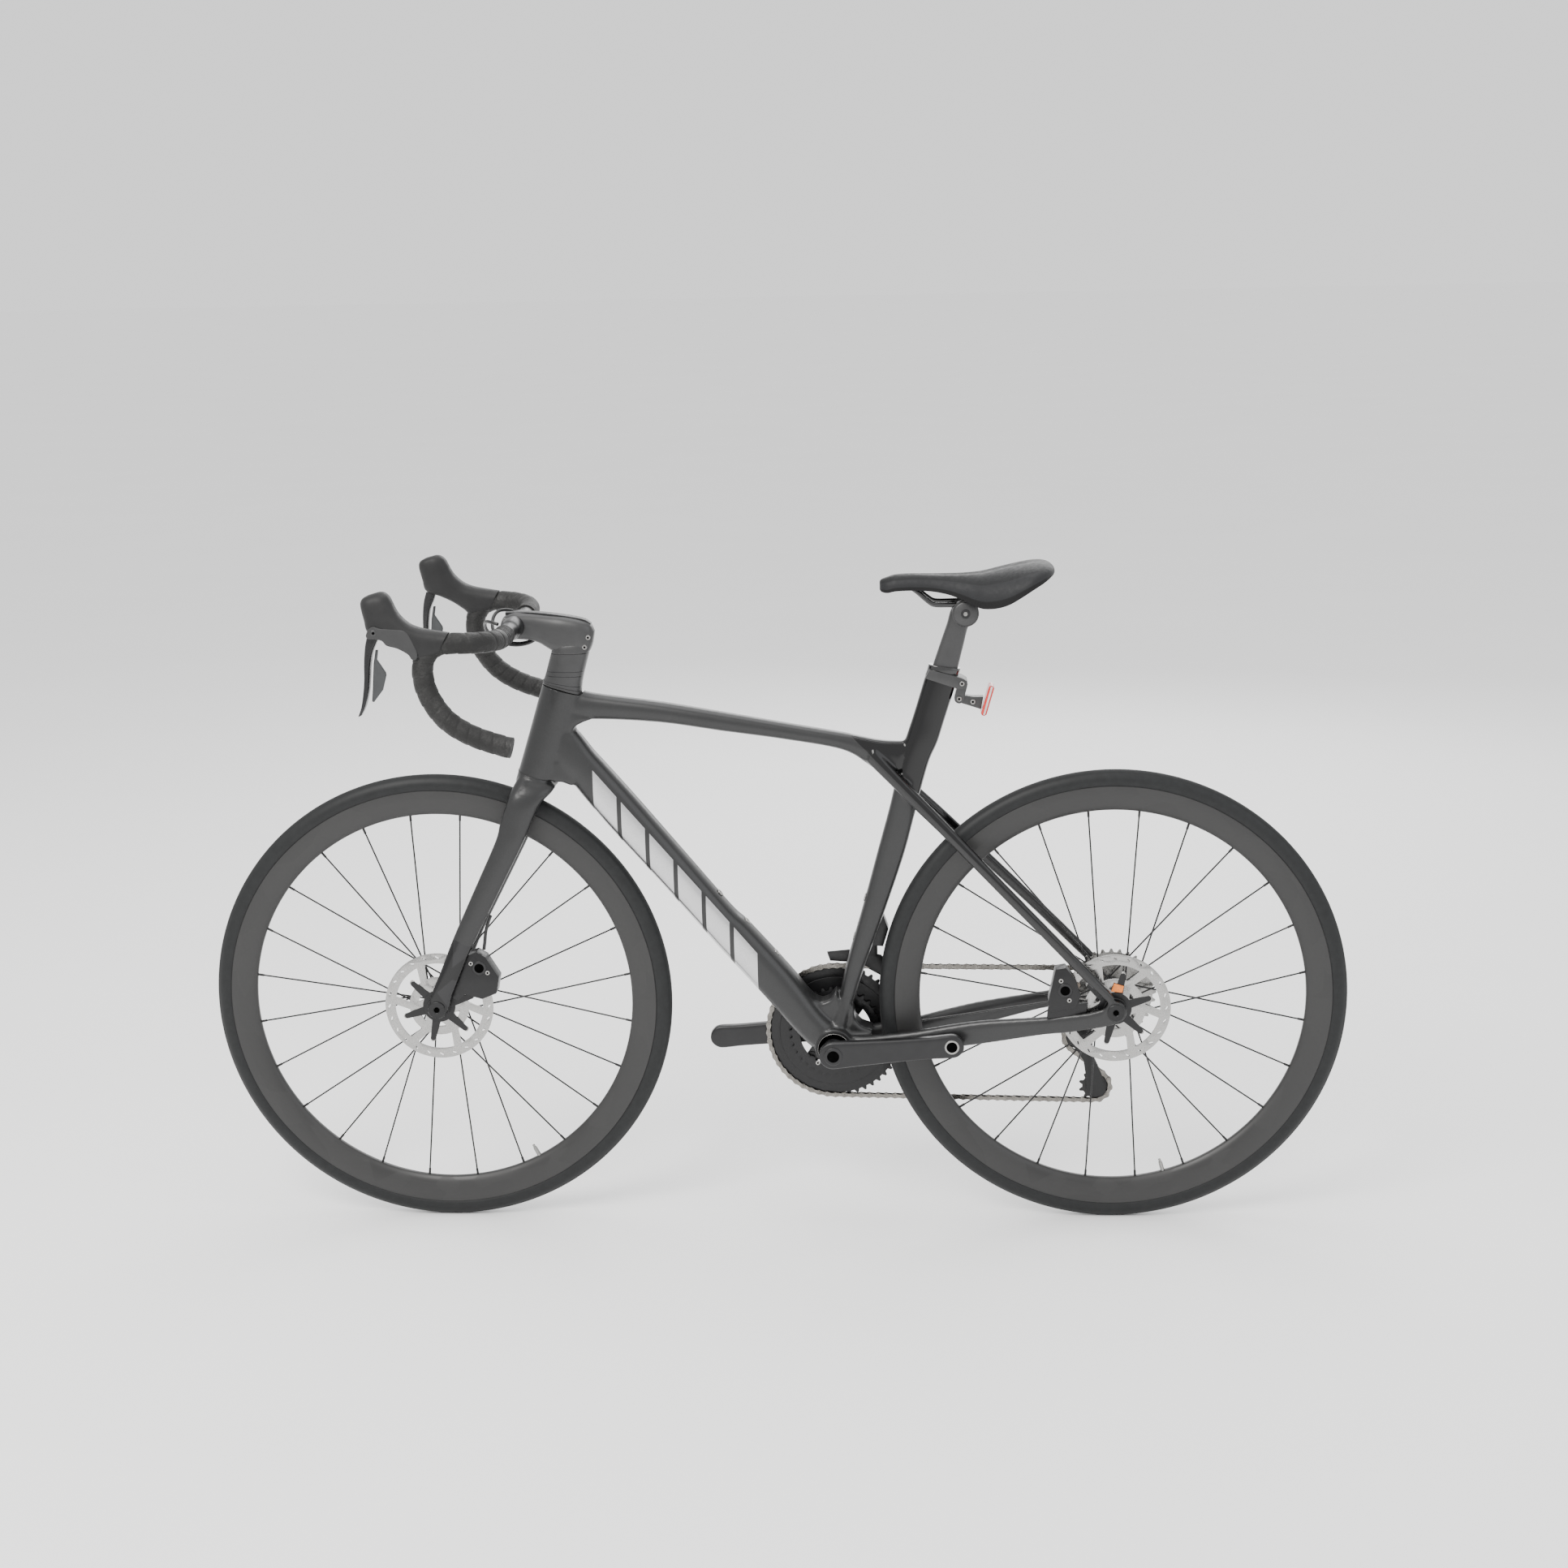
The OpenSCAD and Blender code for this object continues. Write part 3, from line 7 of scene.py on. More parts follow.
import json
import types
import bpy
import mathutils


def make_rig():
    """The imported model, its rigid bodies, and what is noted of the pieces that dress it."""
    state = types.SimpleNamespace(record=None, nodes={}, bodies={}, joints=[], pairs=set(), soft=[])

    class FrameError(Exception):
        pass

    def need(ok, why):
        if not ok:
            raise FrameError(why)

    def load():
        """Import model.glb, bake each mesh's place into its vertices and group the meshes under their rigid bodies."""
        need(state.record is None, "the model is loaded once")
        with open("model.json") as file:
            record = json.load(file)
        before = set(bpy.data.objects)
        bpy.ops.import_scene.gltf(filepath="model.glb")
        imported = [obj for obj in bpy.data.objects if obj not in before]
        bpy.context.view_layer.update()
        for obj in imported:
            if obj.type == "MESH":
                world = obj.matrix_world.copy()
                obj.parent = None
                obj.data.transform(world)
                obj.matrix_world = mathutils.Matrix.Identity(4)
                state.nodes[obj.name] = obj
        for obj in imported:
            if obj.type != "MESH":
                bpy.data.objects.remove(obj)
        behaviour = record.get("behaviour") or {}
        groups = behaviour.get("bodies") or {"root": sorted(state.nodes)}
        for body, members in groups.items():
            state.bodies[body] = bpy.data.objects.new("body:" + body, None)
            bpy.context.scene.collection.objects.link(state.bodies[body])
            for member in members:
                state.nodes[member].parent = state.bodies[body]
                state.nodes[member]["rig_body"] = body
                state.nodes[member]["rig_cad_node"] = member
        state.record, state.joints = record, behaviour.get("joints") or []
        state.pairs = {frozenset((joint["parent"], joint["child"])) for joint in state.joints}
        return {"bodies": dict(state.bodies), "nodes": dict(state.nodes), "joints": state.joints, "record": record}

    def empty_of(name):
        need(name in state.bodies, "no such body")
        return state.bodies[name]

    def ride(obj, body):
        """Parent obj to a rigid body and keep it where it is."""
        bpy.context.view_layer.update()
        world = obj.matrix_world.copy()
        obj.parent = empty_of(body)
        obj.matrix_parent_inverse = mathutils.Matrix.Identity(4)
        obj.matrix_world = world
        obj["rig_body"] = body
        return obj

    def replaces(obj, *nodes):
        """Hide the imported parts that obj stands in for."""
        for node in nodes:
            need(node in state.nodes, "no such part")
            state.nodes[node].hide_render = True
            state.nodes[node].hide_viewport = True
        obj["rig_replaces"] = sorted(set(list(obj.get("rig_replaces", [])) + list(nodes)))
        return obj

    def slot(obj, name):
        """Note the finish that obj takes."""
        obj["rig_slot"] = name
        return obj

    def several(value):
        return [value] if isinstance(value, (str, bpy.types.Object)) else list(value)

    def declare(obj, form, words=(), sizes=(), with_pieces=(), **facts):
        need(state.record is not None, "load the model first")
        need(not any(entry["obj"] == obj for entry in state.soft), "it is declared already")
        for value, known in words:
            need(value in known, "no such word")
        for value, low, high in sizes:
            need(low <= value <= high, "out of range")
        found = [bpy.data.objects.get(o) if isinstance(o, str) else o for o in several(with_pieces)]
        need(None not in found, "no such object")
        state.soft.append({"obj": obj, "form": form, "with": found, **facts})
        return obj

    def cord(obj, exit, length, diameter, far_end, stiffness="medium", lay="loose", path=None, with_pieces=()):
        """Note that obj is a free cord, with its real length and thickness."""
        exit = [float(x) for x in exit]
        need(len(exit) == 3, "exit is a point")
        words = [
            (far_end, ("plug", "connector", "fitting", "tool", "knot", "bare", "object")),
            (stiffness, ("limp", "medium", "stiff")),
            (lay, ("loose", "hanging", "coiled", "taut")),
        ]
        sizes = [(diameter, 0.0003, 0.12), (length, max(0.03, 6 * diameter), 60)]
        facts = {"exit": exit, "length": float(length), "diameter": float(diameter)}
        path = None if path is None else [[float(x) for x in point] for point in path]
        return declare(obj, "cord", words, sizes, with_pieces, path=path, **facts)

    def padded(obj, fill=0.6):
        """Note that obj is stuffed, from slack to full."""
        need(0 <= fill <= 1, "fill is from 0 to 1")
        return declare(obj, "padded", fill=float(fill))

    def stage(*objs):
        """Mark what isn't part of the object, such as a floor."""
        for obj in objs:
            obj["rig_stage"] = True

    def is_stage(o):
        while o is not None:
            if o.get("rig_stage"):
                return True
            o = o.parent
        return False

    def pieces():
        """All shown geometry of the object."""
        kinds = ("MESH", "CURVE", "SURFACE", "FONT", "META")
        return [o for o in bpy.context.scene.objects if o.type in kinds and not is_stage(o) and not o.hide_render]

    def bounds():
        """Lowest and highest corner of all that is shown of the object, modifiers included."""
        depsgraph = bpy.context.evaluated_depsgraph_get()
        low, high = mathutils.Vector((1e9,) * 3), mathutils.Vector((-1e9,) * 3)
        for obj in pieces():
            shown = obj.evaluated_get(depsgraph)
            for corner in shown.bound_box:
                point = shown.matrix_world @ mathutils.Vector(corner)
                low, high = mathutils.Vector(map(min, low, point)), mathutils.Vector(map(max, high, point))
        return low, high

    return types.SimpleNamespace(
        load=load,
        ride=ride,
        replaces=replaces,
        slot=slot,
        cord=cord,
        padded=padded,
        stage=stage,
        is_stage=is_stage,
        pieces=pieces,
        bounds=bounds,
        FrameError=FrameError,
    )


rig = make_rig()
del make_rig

bl_info = {
    "name": "Road Bicycle Finish",
    "version": (1, 0, 0),
    "blender": (4, 5, 0),
    "location": "View3D > Sidebar > Bicycle",
    "description": "Paints and details a road bicycle, piece by piece, on its packed parts",
    "category": "Object",
}

import sys
import json
import math

import bmesh
import bpy
import numpy as np
from bpy.props import FloatProperty, FloatVectorProperty, IntProperty, PointerProperty
from mathutils import Matrix, Vector

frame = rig.load()
CAD_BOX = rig.bounds()
NODES = frame["nodes"]

WHEELBASE = 985.7
WHEEL_R = 340.0
FRONT_AXLE = (0.0, WHEEL_R)
REAR_AXLE = (WHEELBASE, WHEEL_R)
CRANK_AXLE = (579.353, 272.0)
CHAIN_Y = 48.5


def at(points):
    """Side-view millimetres as metres in the model's frame: X is counted from the middle of the wheelbase."""
    return (np.asarray(points, float) - (WHEELBASE / 2, 0, 0)) / 1000


# ---- Surfaces ----

def curve_rows(rows, steps):
    """Catmull-Rom curve through the rows, with steps parts to a span: a cubic between two rows whose slope
    at each is half the difference of that row's neighbours."""
    p = np.asarray(rows, float)
    p = np.vstack([p[:1], p, p[-1:]])
    a, b, c, d = (q[:, None, :] for q in (p[:-3], p[1:-2], p[2:-1], p[3:]))
    t = (np.arange(steps) / steps)[None, :, None]
    out = 0.5 * (2 * b + t * (c - a) + t**2 * (2 * a - 5 * b + 4 * c - d) + t**3 * (3 * b - a - 3 * c + d))
    return np.vstack([out.reshape(-1, p.shape[1]), p[-2:-1]])


def power(v, e):
    """Signed power, which squares up a circle when e is under 1."""
    return np.sign(v) * np.abs(v) ** e


def loft(stations, roundness, n=48, steps=6):
    """Tube through stations [upper x, upper z, lower x, lower z, half width, place across]. Each ring is a
    superellipse: half the depth times cos^roundness one way, half the width times sin^roundness the other."""
    s = curve_rows(stations, steps)
    a = 2 * np.pi * (np.arange(n) + 0.5) / n
    c, w = power(np.cos(a), roundness), power(np.sin(a), roundness)
    mid, half = (s[:, 0:2] + s[:, 2:4]) / 2, (s[:, 0:2] - s[:, 2:4]) / 2
    behind, high = mid[:, :1] + half[:, :1] * c, mid[:, 1:] + half[:, 1:] * c
    return np.stack([behind, s[:, 5:6] + s[:, 4:5] * w, high], -1)


def carried_frames(path, start):
    """Two directions square to the path at each point, carried along it without twist."""
    t = np.gradient(path, axis=0)
    t /= np.linalg.norm(t, axis=1, keepdims=True)
    u = np.empty_like(path)
    v = np.asarray(start, float)
    for i, direction in enumerate(t):
        v = v - direction * v.dot(direction)
        v /= np.linalg.norm(v)
        u[i] = v
    return u, np.cross(t, u)


def sweep(path, radius, n=24, start=(0, 0, 1), flat=1.0):
    """Circle of the given radius, one value, a row or a grid of values, carried along a path. flat squeezes
    its second direction."""
    path = np.asarray(path, float)
    u, v = carried_frames(path, start)
    a = 2 * np.pi * np.arange(n)[None, :, None] / n
    radius = np.asarray(radius, float)
    if radius.ndim == 1:
        radius = radius[:, None]
    r = np.broadcast_to(radius, (len(path), n))[..., None]
    return path[:, None] + r * (np.cos(a) * u[:, None] + flat * np.sin(a) * v[:, None])


def lathe(profile, centre, n=96):
    """Rows of [place across, radius] turned about the sideways line through a side-view point."""
    p = np.asarray(profile, float)
    a = 2 * np.pi * np.arange(n) / n
    x = centre[0] + p[:, 1:] * np.cos(a)
    z = centre[1] + p[:, 1:] * np.sin(a)
    return np.stack([x, np.broadcast_to(p[:, :1], x.shape), z], -1)


def eased(points, r, closed=False):
    """The outline with each corner cut by two points, r along the sides from it or a third of the side."""
    p = np.asarray(points, float)
    before, after = np.roll(p, 1, 0), np.roll(p, -1, 0)

    def toward(q):
        d = q - p
        length = np.linalg.norm(d, axis=1, keepdims=True)
        return p + d / np.maximum(length, 1e-9) * np.minimum(r, length / 3)

    out = np.stack([toward(before), toward(after)], 1).reshape(-1, p.shape[1])
    return out if closed else np.vstack([p[:1], out[2:-2], p[-1:]])


def shell(grid, path=False, ring=True, caps=True, metres=True, m=0, uv=None):
    """Quads between neighbouring rows and columns of a grid of points, with a fan over each open end.

    Its UV is the length round and along in metres, or the two given rows of values.
    """
    grid = at(grid) if metres else np.asarray(grid, float)
    rows, cols = grid.shape[:2]
    i, j = np.meshgrid(np.arange(rows if path else rows - 1), np.arange(cols if ring else cols - 1),
                       indexing="ij")
    i2, j2 = (i + 1) % rows, (j + 1) % cols
    quads = np.stack([i * cols + j, i * cols + j2, i2 * cols + j2, i2 * cols + j], -1).reshape(-1, 4)
    if uv is None:
        centre = grid.mean(1)
        along = np.concatenate([[0], np.cumsum(np.linalg.norm(np.diff(centre, axis=0), axis=1))])
        if path:
            along = np.linspace(0, 1, rows) * np.linalg.norm(np.diff(grid[:, 0], axis=0), axis=1).sum()
        along = np.append(along, along[-1] + (along[-1] - along[-2]))
        around = np.linalg.norm(np.diff(grid[rows // 2], axis=0), axis=1).sum() * np.arange(cols + 1) / cols
    else:
        around, along = uv
    quad_uv = np.stack([np.stack([around[j], along[i]], -1), np.stack([around[j + 1], along[i]], -1),
                        np.stack([around[j + 1], along[i + 1]], -1), np.stack([around[j], along[i + 1]], -1)],
                       -2).reshape(-1, 4, 2)
    verts, tris, tri_uv = grid.reshape(-1, 3), np.zeros((0, 3), int), np.zeros((0, 3, 2))
    if caps and not path:
        base = len(verts)
        verts = np.vstack([verts, grid[0].mean(0), grid[-1].mean(0)])
        k = np.arange(cols)
        k2 = (k + 1) % cols
        last = (rows - 1) * cols
        tris = np.vstack([np.stack([k2, k, np.full(cols, base)], 1),
                          np.stack([last + k, last + k2, np.full(cols, base + 1)], 1)])
        tri_uv = np.stack([np.stack([around[k], np.full(cols, along[0])], 1)] * 3, 1)
        tri_uv = np.vstack([tri_uv, tri_uv])
    return outward({"v": verts, "q": quads, "t": tris, "quv": quad_uv, "tuv": tri_uv, "m": m})


def outward(part):
    """The part with its faces turned to point outwards, told from the sign of its volume."""
    v = part["v"] - part["v"].mean(0)
    t = np.vstack([part["q"][:, [0, 1, 2]], part["q"][:, [0, 2, 3]], part["t"]])
    if np.einsum("ij,ij->", v[t[:, 0]], np.cross(v[t[:, 1]], v[t[:, 2]])) < 0:
        for key in ("q", "t", "quv", "tuv"):
            part[key] = part[key][:, ::-1]
    return part


def repeat(part, moves):
    """Copies of a part, one for each (3x3 turn, shift in metres)."""
    turns, shifts = np.array([a for a, _ in moves]), np.array([b for _, b in moves])
    count, size = len(moves), len(part["v"])
    step = (np.arange(count) * size)[:, None, None]
    verts = np.einsum("cij,vj->cvi", turns, part["v"]) + shifts[:, None]
    out = {"v": verts.reshape(-1, 3), "m": part["m"]}
    for key, corners in (("q", 4), ("t", 3)):
        out[key] = (part[key][None] + step).reshape(-1, corners)
        out[key + "uv"] = np.tile(part[key + "uv"], (count, 1, 1))
    return out


def mirrored(part):
    """The part on the other side of the mid-plane."""
    out = dict(part)
    out["v"] = part["v"] * (1, -1, 1)
    for key in ("q", "t", "quv", "tuv"):
        out[key] = part[key][:, ::-1]
    return out


def both(part):
    """The part and its mirror image."""
    return [part, mirrored(part)]


def inset(outline, d):
    """A closed outline moved inwards by d, along the mean of the two sides' normals at each corner."""
    p = np.asarray(outline, float)
    side = np.roll(p, -1, 0) - p
    area = np.sum(p[:, 0] * np.roll(p, -1, 0)[:, 1] - np.roll(p, -1, 0)[:, 0] * p[:, 1])
    normal = np.stack([-side[:, 1], side[:, 0]], 1) * np.sign(area)
    normal /= np.maximum(np.linalg.norm(normal, axis=1, keepdims=True), 1e-9)
    mean = normal + np.roll(normal, 1, 0)
    mean /= np.maximum(np.sum(mean * normal, axis=1, keepdims=True), 0.6)
    return p + mean * d


def plate(outline, y0, y1, edge=0.6, m=0, metres=True):
    """A side-view outline between two places across, with both its edges eased by edge. A short fan of rings
    closes each face, so a bent outline stays filled."""
    o = np.asarray(outline, float)
    if len(o) % 2:
        o = np.vstack([o, (o[-1] + o[0]) / 2])
    small = inset(o, edge)
    rings = [(small, y0), (o, y0 + edge), (o, y1 - edge), (small, y1)]
    grid = np.array([np.stack([r[:, 0], np.full(len(r), y), r[:, 1]], 1) for r, y in rings])
    part = shell(grid, caps=False, metres=metres, m=m)
    ends = [list(range(len(o))), list(range(4 * len(o) - 1, 3 * len(o) - 1, -1))]
    turning = np.sum(o[:, 0] * np.roll(o, -1, 0)[:, 1] - np.roll(o, -1, 0)[:, 0] * o[:, 1])
    part["n"] = ends if turning > 0 else [f[::-1] for f in ends]
    return part


def mesh_of(name, parts):
    """One mesh from parts, with their UVs and material numbers."""
    verts, faces, uvs, mats, base = [], [], [], [], 0
    for part in parts:
        verts.append(part["v"])
        for key in ("q", "t"):
            faces.extend((part[key] + base).tolist())
            uvs.append(part[key + "uv"].reshape(-1, 2))
            mats.extend([part["m"]] * len(part[key]))
        for ngon in part.get("n", []):
            faces.append([i + base for i in ngon])
            uvs.append(part["v"][ngon][:, [0, 2]])
            mats.append(part["m"])
        base += len(part["v"])
    mesh = bpy.data.meshes.new(name)
    mesh.from_pydata(np.vstack(verts).tolist(), [], faces)
    mesh.uv_layers.new(name="UVMap").data.foreach_set("uv", np.vstack(uvs).astype(np.float32).ravel())
    mesh.polygons.foreach_set("material_index", np.array(mats, np.int32))
    mesh.update()
    return mesh


def shade(mesh, angle):
    """Smooth shading that breaks at edges sharper than angle, in degrees."""
    mesh.polygons.foreach_set("use_smooth", np.ones(len(mesh.polygons), bool))
    mesh.set_sharp_from_angle(angle=math.radians(angle))
    mesh.update()


def piece(name, parts, body, finishes, slot, replaces=(), angle=38):
    """A finished piece: its mesh and materials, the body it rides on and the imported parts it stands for."""
    mesh = parts if isinstance(parts, bpy.types.Mesh) else mesh_of(name, parts)
    mesh.name = name
    obj = bpy.data.objects.new(name, mesh)
    bpy.context.scene.collection.objects.link(obj)
    # Clearing the materials also clears each face's material number, so the numbers are kept and set again
    numbers = np.zeros(len(mesh.polygons), np.int32)
    mesh.polygons.foreach_get("material_index", numbers)
    mesh.materials.clear()
    for f in finishes:
        mesh.materials.append(f)
    mesh.polygons.foreach_set("material_index", np.minimum(numbers, len(finishes) - 1))
    shade(mesh, angle)
    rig.ride(obj, body)
    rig.slot(obj, slot)
    if replaces:
        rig.replaces(obj, *replaces)
    return obj


def applied(obj):
    """The object's mesh with its modifiers worked in. The object itself is removed."""
    bpy.context.view_layer.update()
    graph = bpy.context.evaluated_depsgraph_get()
    mesh = bpy.data.meshes.new_from_object(obj.evaluated_get(graph), depsgraph=graph)
    bpy.data.objects.remove(obj)
    return mesh


def fused(name, parts, voxel, rounds):
    """Closed parts joined into one skin on a grid of voxel metres, then relaxed, which leaves a fillet
    where they meet."""
    obj = bpy.data.objects.new(name, mesh_of(name, parts))
    bpy.context.scene.collection.objects.link(obj)
    remesh = obj.modifiers.new("join", "REMESH")
    remesh.mode = "VOXEL"
    remesh.voxel_size = voxel
    relax = obj.modifiers.new("relax", "SMOOTH")
    relax.factor, relax.iterations = 0.5, rounds
    return applied(obj)


def softened(node, width, name=None, segments=2):
    """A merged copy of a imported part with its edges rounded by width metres."""
    work = bmesh.new()
    work.from_mesh(NODES[node].data)
    bmesh.ops.remove_doubles(work, verts=work.verts, dist=1e-6)
    bmesh.ops.dissolve_limit(work, angle_limit=math.radians(1), verts=work.verts, edges=work.edges)
    mesh = bpy.data.meshes.new(name or node + "_finished")
    work.to_mesh(mesh)
    work.free()
    obj = bpy.data.objects.new(mesh.name, mesh)
    bpy.context.scene.collection.objects.link(obj)
    bevel = obj.modifiers.new("edge", "BEVEL")
    bevel.width, bevel.segments = width, segments
    bevel.limit_method, bevel.angle_limit = "ANGLE", math.radians(35)
    bevel.use_clamp_overlap = True
    return applied(obj)


# ---- Materials ----

class Finish:
    """A node material on one Principled shader, with short calls for the patterns that drive it."""

    def __init__(self, name, colour, rough, metallic=0.0, **sockets):
        self.material = bpy.data.materials.new(name)
        self.material.use_nodes = True
        self.tree = self.material.node_tree
        self.shader = self.tree.nodes["Principled BSDF"]
        self.colour, self.rough = tuple(colour), rough
        self.set("Base Color", (*colour, 1))
        self.set("Roughness", rough)
        self.set("Metallic", metallic)
        for key, value in sockets.items():
            self.set(key.replace("_", " "), value)

    def set(self, socket, value):
        """A socket takes a constant, or the output of another node."""
        if isinstance(value, bpy.types.NodeSocket):
            self.tree.links.new(value, self.shader.inputs[socket])
        else:
            self.shader.inputs[socket].default_value = value

    def node(self, kind, inputs=None, **props):
        """A node with its properties, and its inputs filled with constants or links."""
        made = self.tree.nodes.new(kind)
        for key, value in props.items():
            setattr(made, key, value)
        for key, value in (inputs or {}).items():
            if isinstance(value, bpy.types.NodeSocket):
                self.tree.links.new(value, made.inputs[key])
            else:
                made.inputs[key].default_value = value
        return made

    def where(self, kind="Object", scale=(1, 1, 1), turn=(0, 0, 0)):
        """Coordinates of the piece, stretched and turned."""
        source = self.node("ShaderNodeTexCoord").outputs[kind]
        if scale == (1, 1, 1) and turn == (0, 0, 0):
            return source
        return self.node("ShaderNodeMapping", {"Vector": source, "Scale": scale, "Rotation": turn}).outputs[0]

    def axes(self, kind="Object"):
        """X, Y and Z of the piece's coordinates, as three values."""
        return self.node("ShaderNodeSeparateXYZ", {"Vector": self.where(kind)}).outputs

    def noise(self, scale, vector=None, detail=4.0, rough=0.55):
        """Cloudy pattern from 0 to 1."""
        inputs = {"Vector": vector or self.where(), "Scale": scale, "Detail": detail, "Roughness": rough}
        return self.node("ShaderNodeTexNoise", inputs).outputs["Fac"]

    def cells(self, scale, vector=None, feature="F1", output="Distance"):
        """Pattern of irregular cells."""
        inputs = {"Vector": vector or self.where(), "Scale": scale}
        return self.node("ShaderNodeTexVoronoi", inputs, feature=feature).outputs[output]

    def maths(self, operation, a, b=0.0, c=0.0):
        """A sum or other operation of two or three values."""
        made = self.node("ShaderNodeMath", {0: a, 1: b}, operation=operation)
        if operation in ("MULTIPLY_ADD", "WRAP"):
            made.inputs[2].default_value = c
        return made.outputs[0]

    def level(self, value, low, high, to_low=0.0, to_high=1.0):
        """The value taken from one range to another, and held inside it."""
        inputs = {"Value": value, "From Min": low, "From Max": high, "To Min": to_low, "To Max": to_high}
        return self.node("ShaderNodeMapRange", inputs).outputs[0]

    def mix(self, share, a, b):
        """Colour a turning to colour b."""
        made = self.node("ShaderNodeMix", data_type="RGBA")
        self.join(share, made.inputs[0])
        self.join(a, made.inputs[6])
        self.join(b, made.inputs[7])
        return made.outputs[2]

    def join(self, value, socket):
        """A link, a number or a colour into a socket."""
        if isinstance(value, bpy.types.NodeSocket):
            self.tree.links.new(value, socket)
        elif isinstance(value, (int, float)):
            socket.default_value = value
        else:
            socket.default_value = (*value, 1)

    def relief(self, height, depth, under=None):
        """Bump of the given height pattern, depth metres high, laid over an earlier bump."""
        inputs = {"Height": height, "Distance": depth, "Strength": 1.0}
        if under is not None:
            inputs["Normal"] = under
        out = self.node("ShaderNodeBump", inputs).outputs[0]
        self.set("Normal", out)
        return out

    def mottle(self, amount=0.12, scale=90.0, rough_amount=0.08, vector=None, colour=None):
        """Uneven colour and sheen: noise varies the colour, and a finer one moves the roughness."""
        base = colour if colour is not None else self.colour
        cloud = self.noise(scale, vector)
        if isinstance(base, bpy.types.NodeSocket):
            self.set("Base Color", self.mix(self.level(cloud, 0.3, 0.7, amount, 0.0), base, (0, 0, 0)))
        else:
            low = tuple(c * (1 - amount) for c in base)
            high = tuple(min(c * (1 + amount), 1) for c in base)
            self.set("Base Color", self.mix(self.level(cloud, 0.3, 0.7), low, high))
        if rough_amount:
            fine = self.noise(scale * 3.7, vector)
            self.set("Roughness",
                     self.level(fine, 0.3, 0.7, self.rough - rough_amount, self.rough + rough_amount))
        return self


def user():
    return bpy.context.scene.bicycle


CACHE = {}


def finish(name):
    """The material of that name, made once."""
    if name not in CACHE:
        CACHE[name] = globals()["make_" + name]()
    return CACHE[name]


def stay_edge(f):
    """1 above the slanting edge where the seat cluster's gloss paint starts: distance behind plus height."""
    x, _, z = f.axes()[:3]
    return f.level(f.maths("ADD", x, z), 0.8509, 0.8513)


def make_frame_paint():
    """Satin charcoal with fine flake, gloss black round the seat cluster, silver bars on the down tube."""
    f = Finish("frame_paint", user().paint, 0.36, 0.0, Coat_Weight=0.2, Coat_Roughness=0.16)
    x, y, z = f.axes()[:3]
    flake = f.cells(2600.0, output="Color")
    sparkle = f.level(f.node("ShaderNodeSeparateColor", {"Color": flake}).outputs[0], 0.0, 1.0, 0.82, 1.22)
    cloud = f.level(f.noise(22.0), 0.3, 0.7, 0.94, 1.06)
    tone = f.maths("MULTIPLY", sparkle, cloud)
    paint = f.node("ShaderNodeVectorMath", {0: tuple(user().paint), 3: tone}, operation="SCALE")
    gloss = stay_edge(f)
    colour = f.mix(gloss, paint.outputs[0], user().gloss_black)
    # Down the tube: u runs along it, w across its side, and s is constant along the bars' upright ends
    u = f.maths("MULTIPLY_ADD", x, 0.647)
    u = f.maths("ADD", u, f.maths("MULTIPLY", z, -0.7625))
    w = f.maths("ADD", f.maths("MULTIPLY", x, 0.7625), f.maths("MULTIPLY", z, 0.647))
    u = f.maths("ADD", u, BAR_U)
    w = f.maths("ADD", w, BAR_W)
    s = f.maths("ADD", u, f.maths("MULTIPLY", w, 1.178))
    inside = f.level(f.maths("WRAP", s, BAR_STEP, 0.0), BAR_LENGTH, BAR_LENGTH + 0.0003, 1.0, 0.0)
    for value, low, high in ((s, 0.0, BAR_STEP * BAR_COUNT - 0.001), (w, -0.034, 0.0115)):
        inside = f.maths("MULTIPLY", inside, f.maths("GREATER_THAN", value, low))
        inside = f.maths("MULTIPLY", inside, f.maths("LESS_THAN", value, high))
    facing = f.node("ShaderNodeSeparateXYZ",
                    {"Vector": f.node("ShaderNodeNewGeometry").outputs["Normal"]}).outputs[1]
    inside = f.maths("MULTIPLY", inside, f.maths("GREATER_THAN", f.maths("ABSOLUTE", facing), 0.3))
    inside = f.maths("MULTIPLY", inside, f.maths("LESS_THAN", f.maths("ABSOLUTE", y), 0.034))
    brushed = f.noise(300.0, f.where(scale=(1, 1, 9)), 3)
    silver = f.mix(f.level(brushed, 0.3, 0.7), (0.62, 0.62, 0.63), user().silver)
    f.set("Base Color", f.mix(inside, colour, silver))
    f.set("Metallic", f.maths("ADD", f.maths("MULTIPLY", inside, 0.6), 0.4))
    satin = f.level(f.noise(160.0), 0.3, 0.7, 0.32, 0.41)
    rough = f.node("ShaderNodeMix", {"Factor": gloss, "A": satin, "B": 0.07}).outputs[0]
    rough = f.node("ShaderNodeMix", {"Factor": inside, "A": rough, "B": 0.26}).outputs[0]
    f.set("Roughness", rough)
    f.relief(f.noise(900.0, detail=2), 0.00002)
    return f.material


BAR_STEP, BAR_LENGTH, BAR_COUNT = 0.0615, 0.0515, 6
# Offsets that put u and w at zero where the first bar starts on the down tube's centre line
BAR_U = -((237 - WHEELBASE / 2) * 0.647 - 671 * 0.7625) / 1000
BAR_W = -((237 - WHEELBASE / 2) * 0.7625 + 671 * 0.647) / 1000


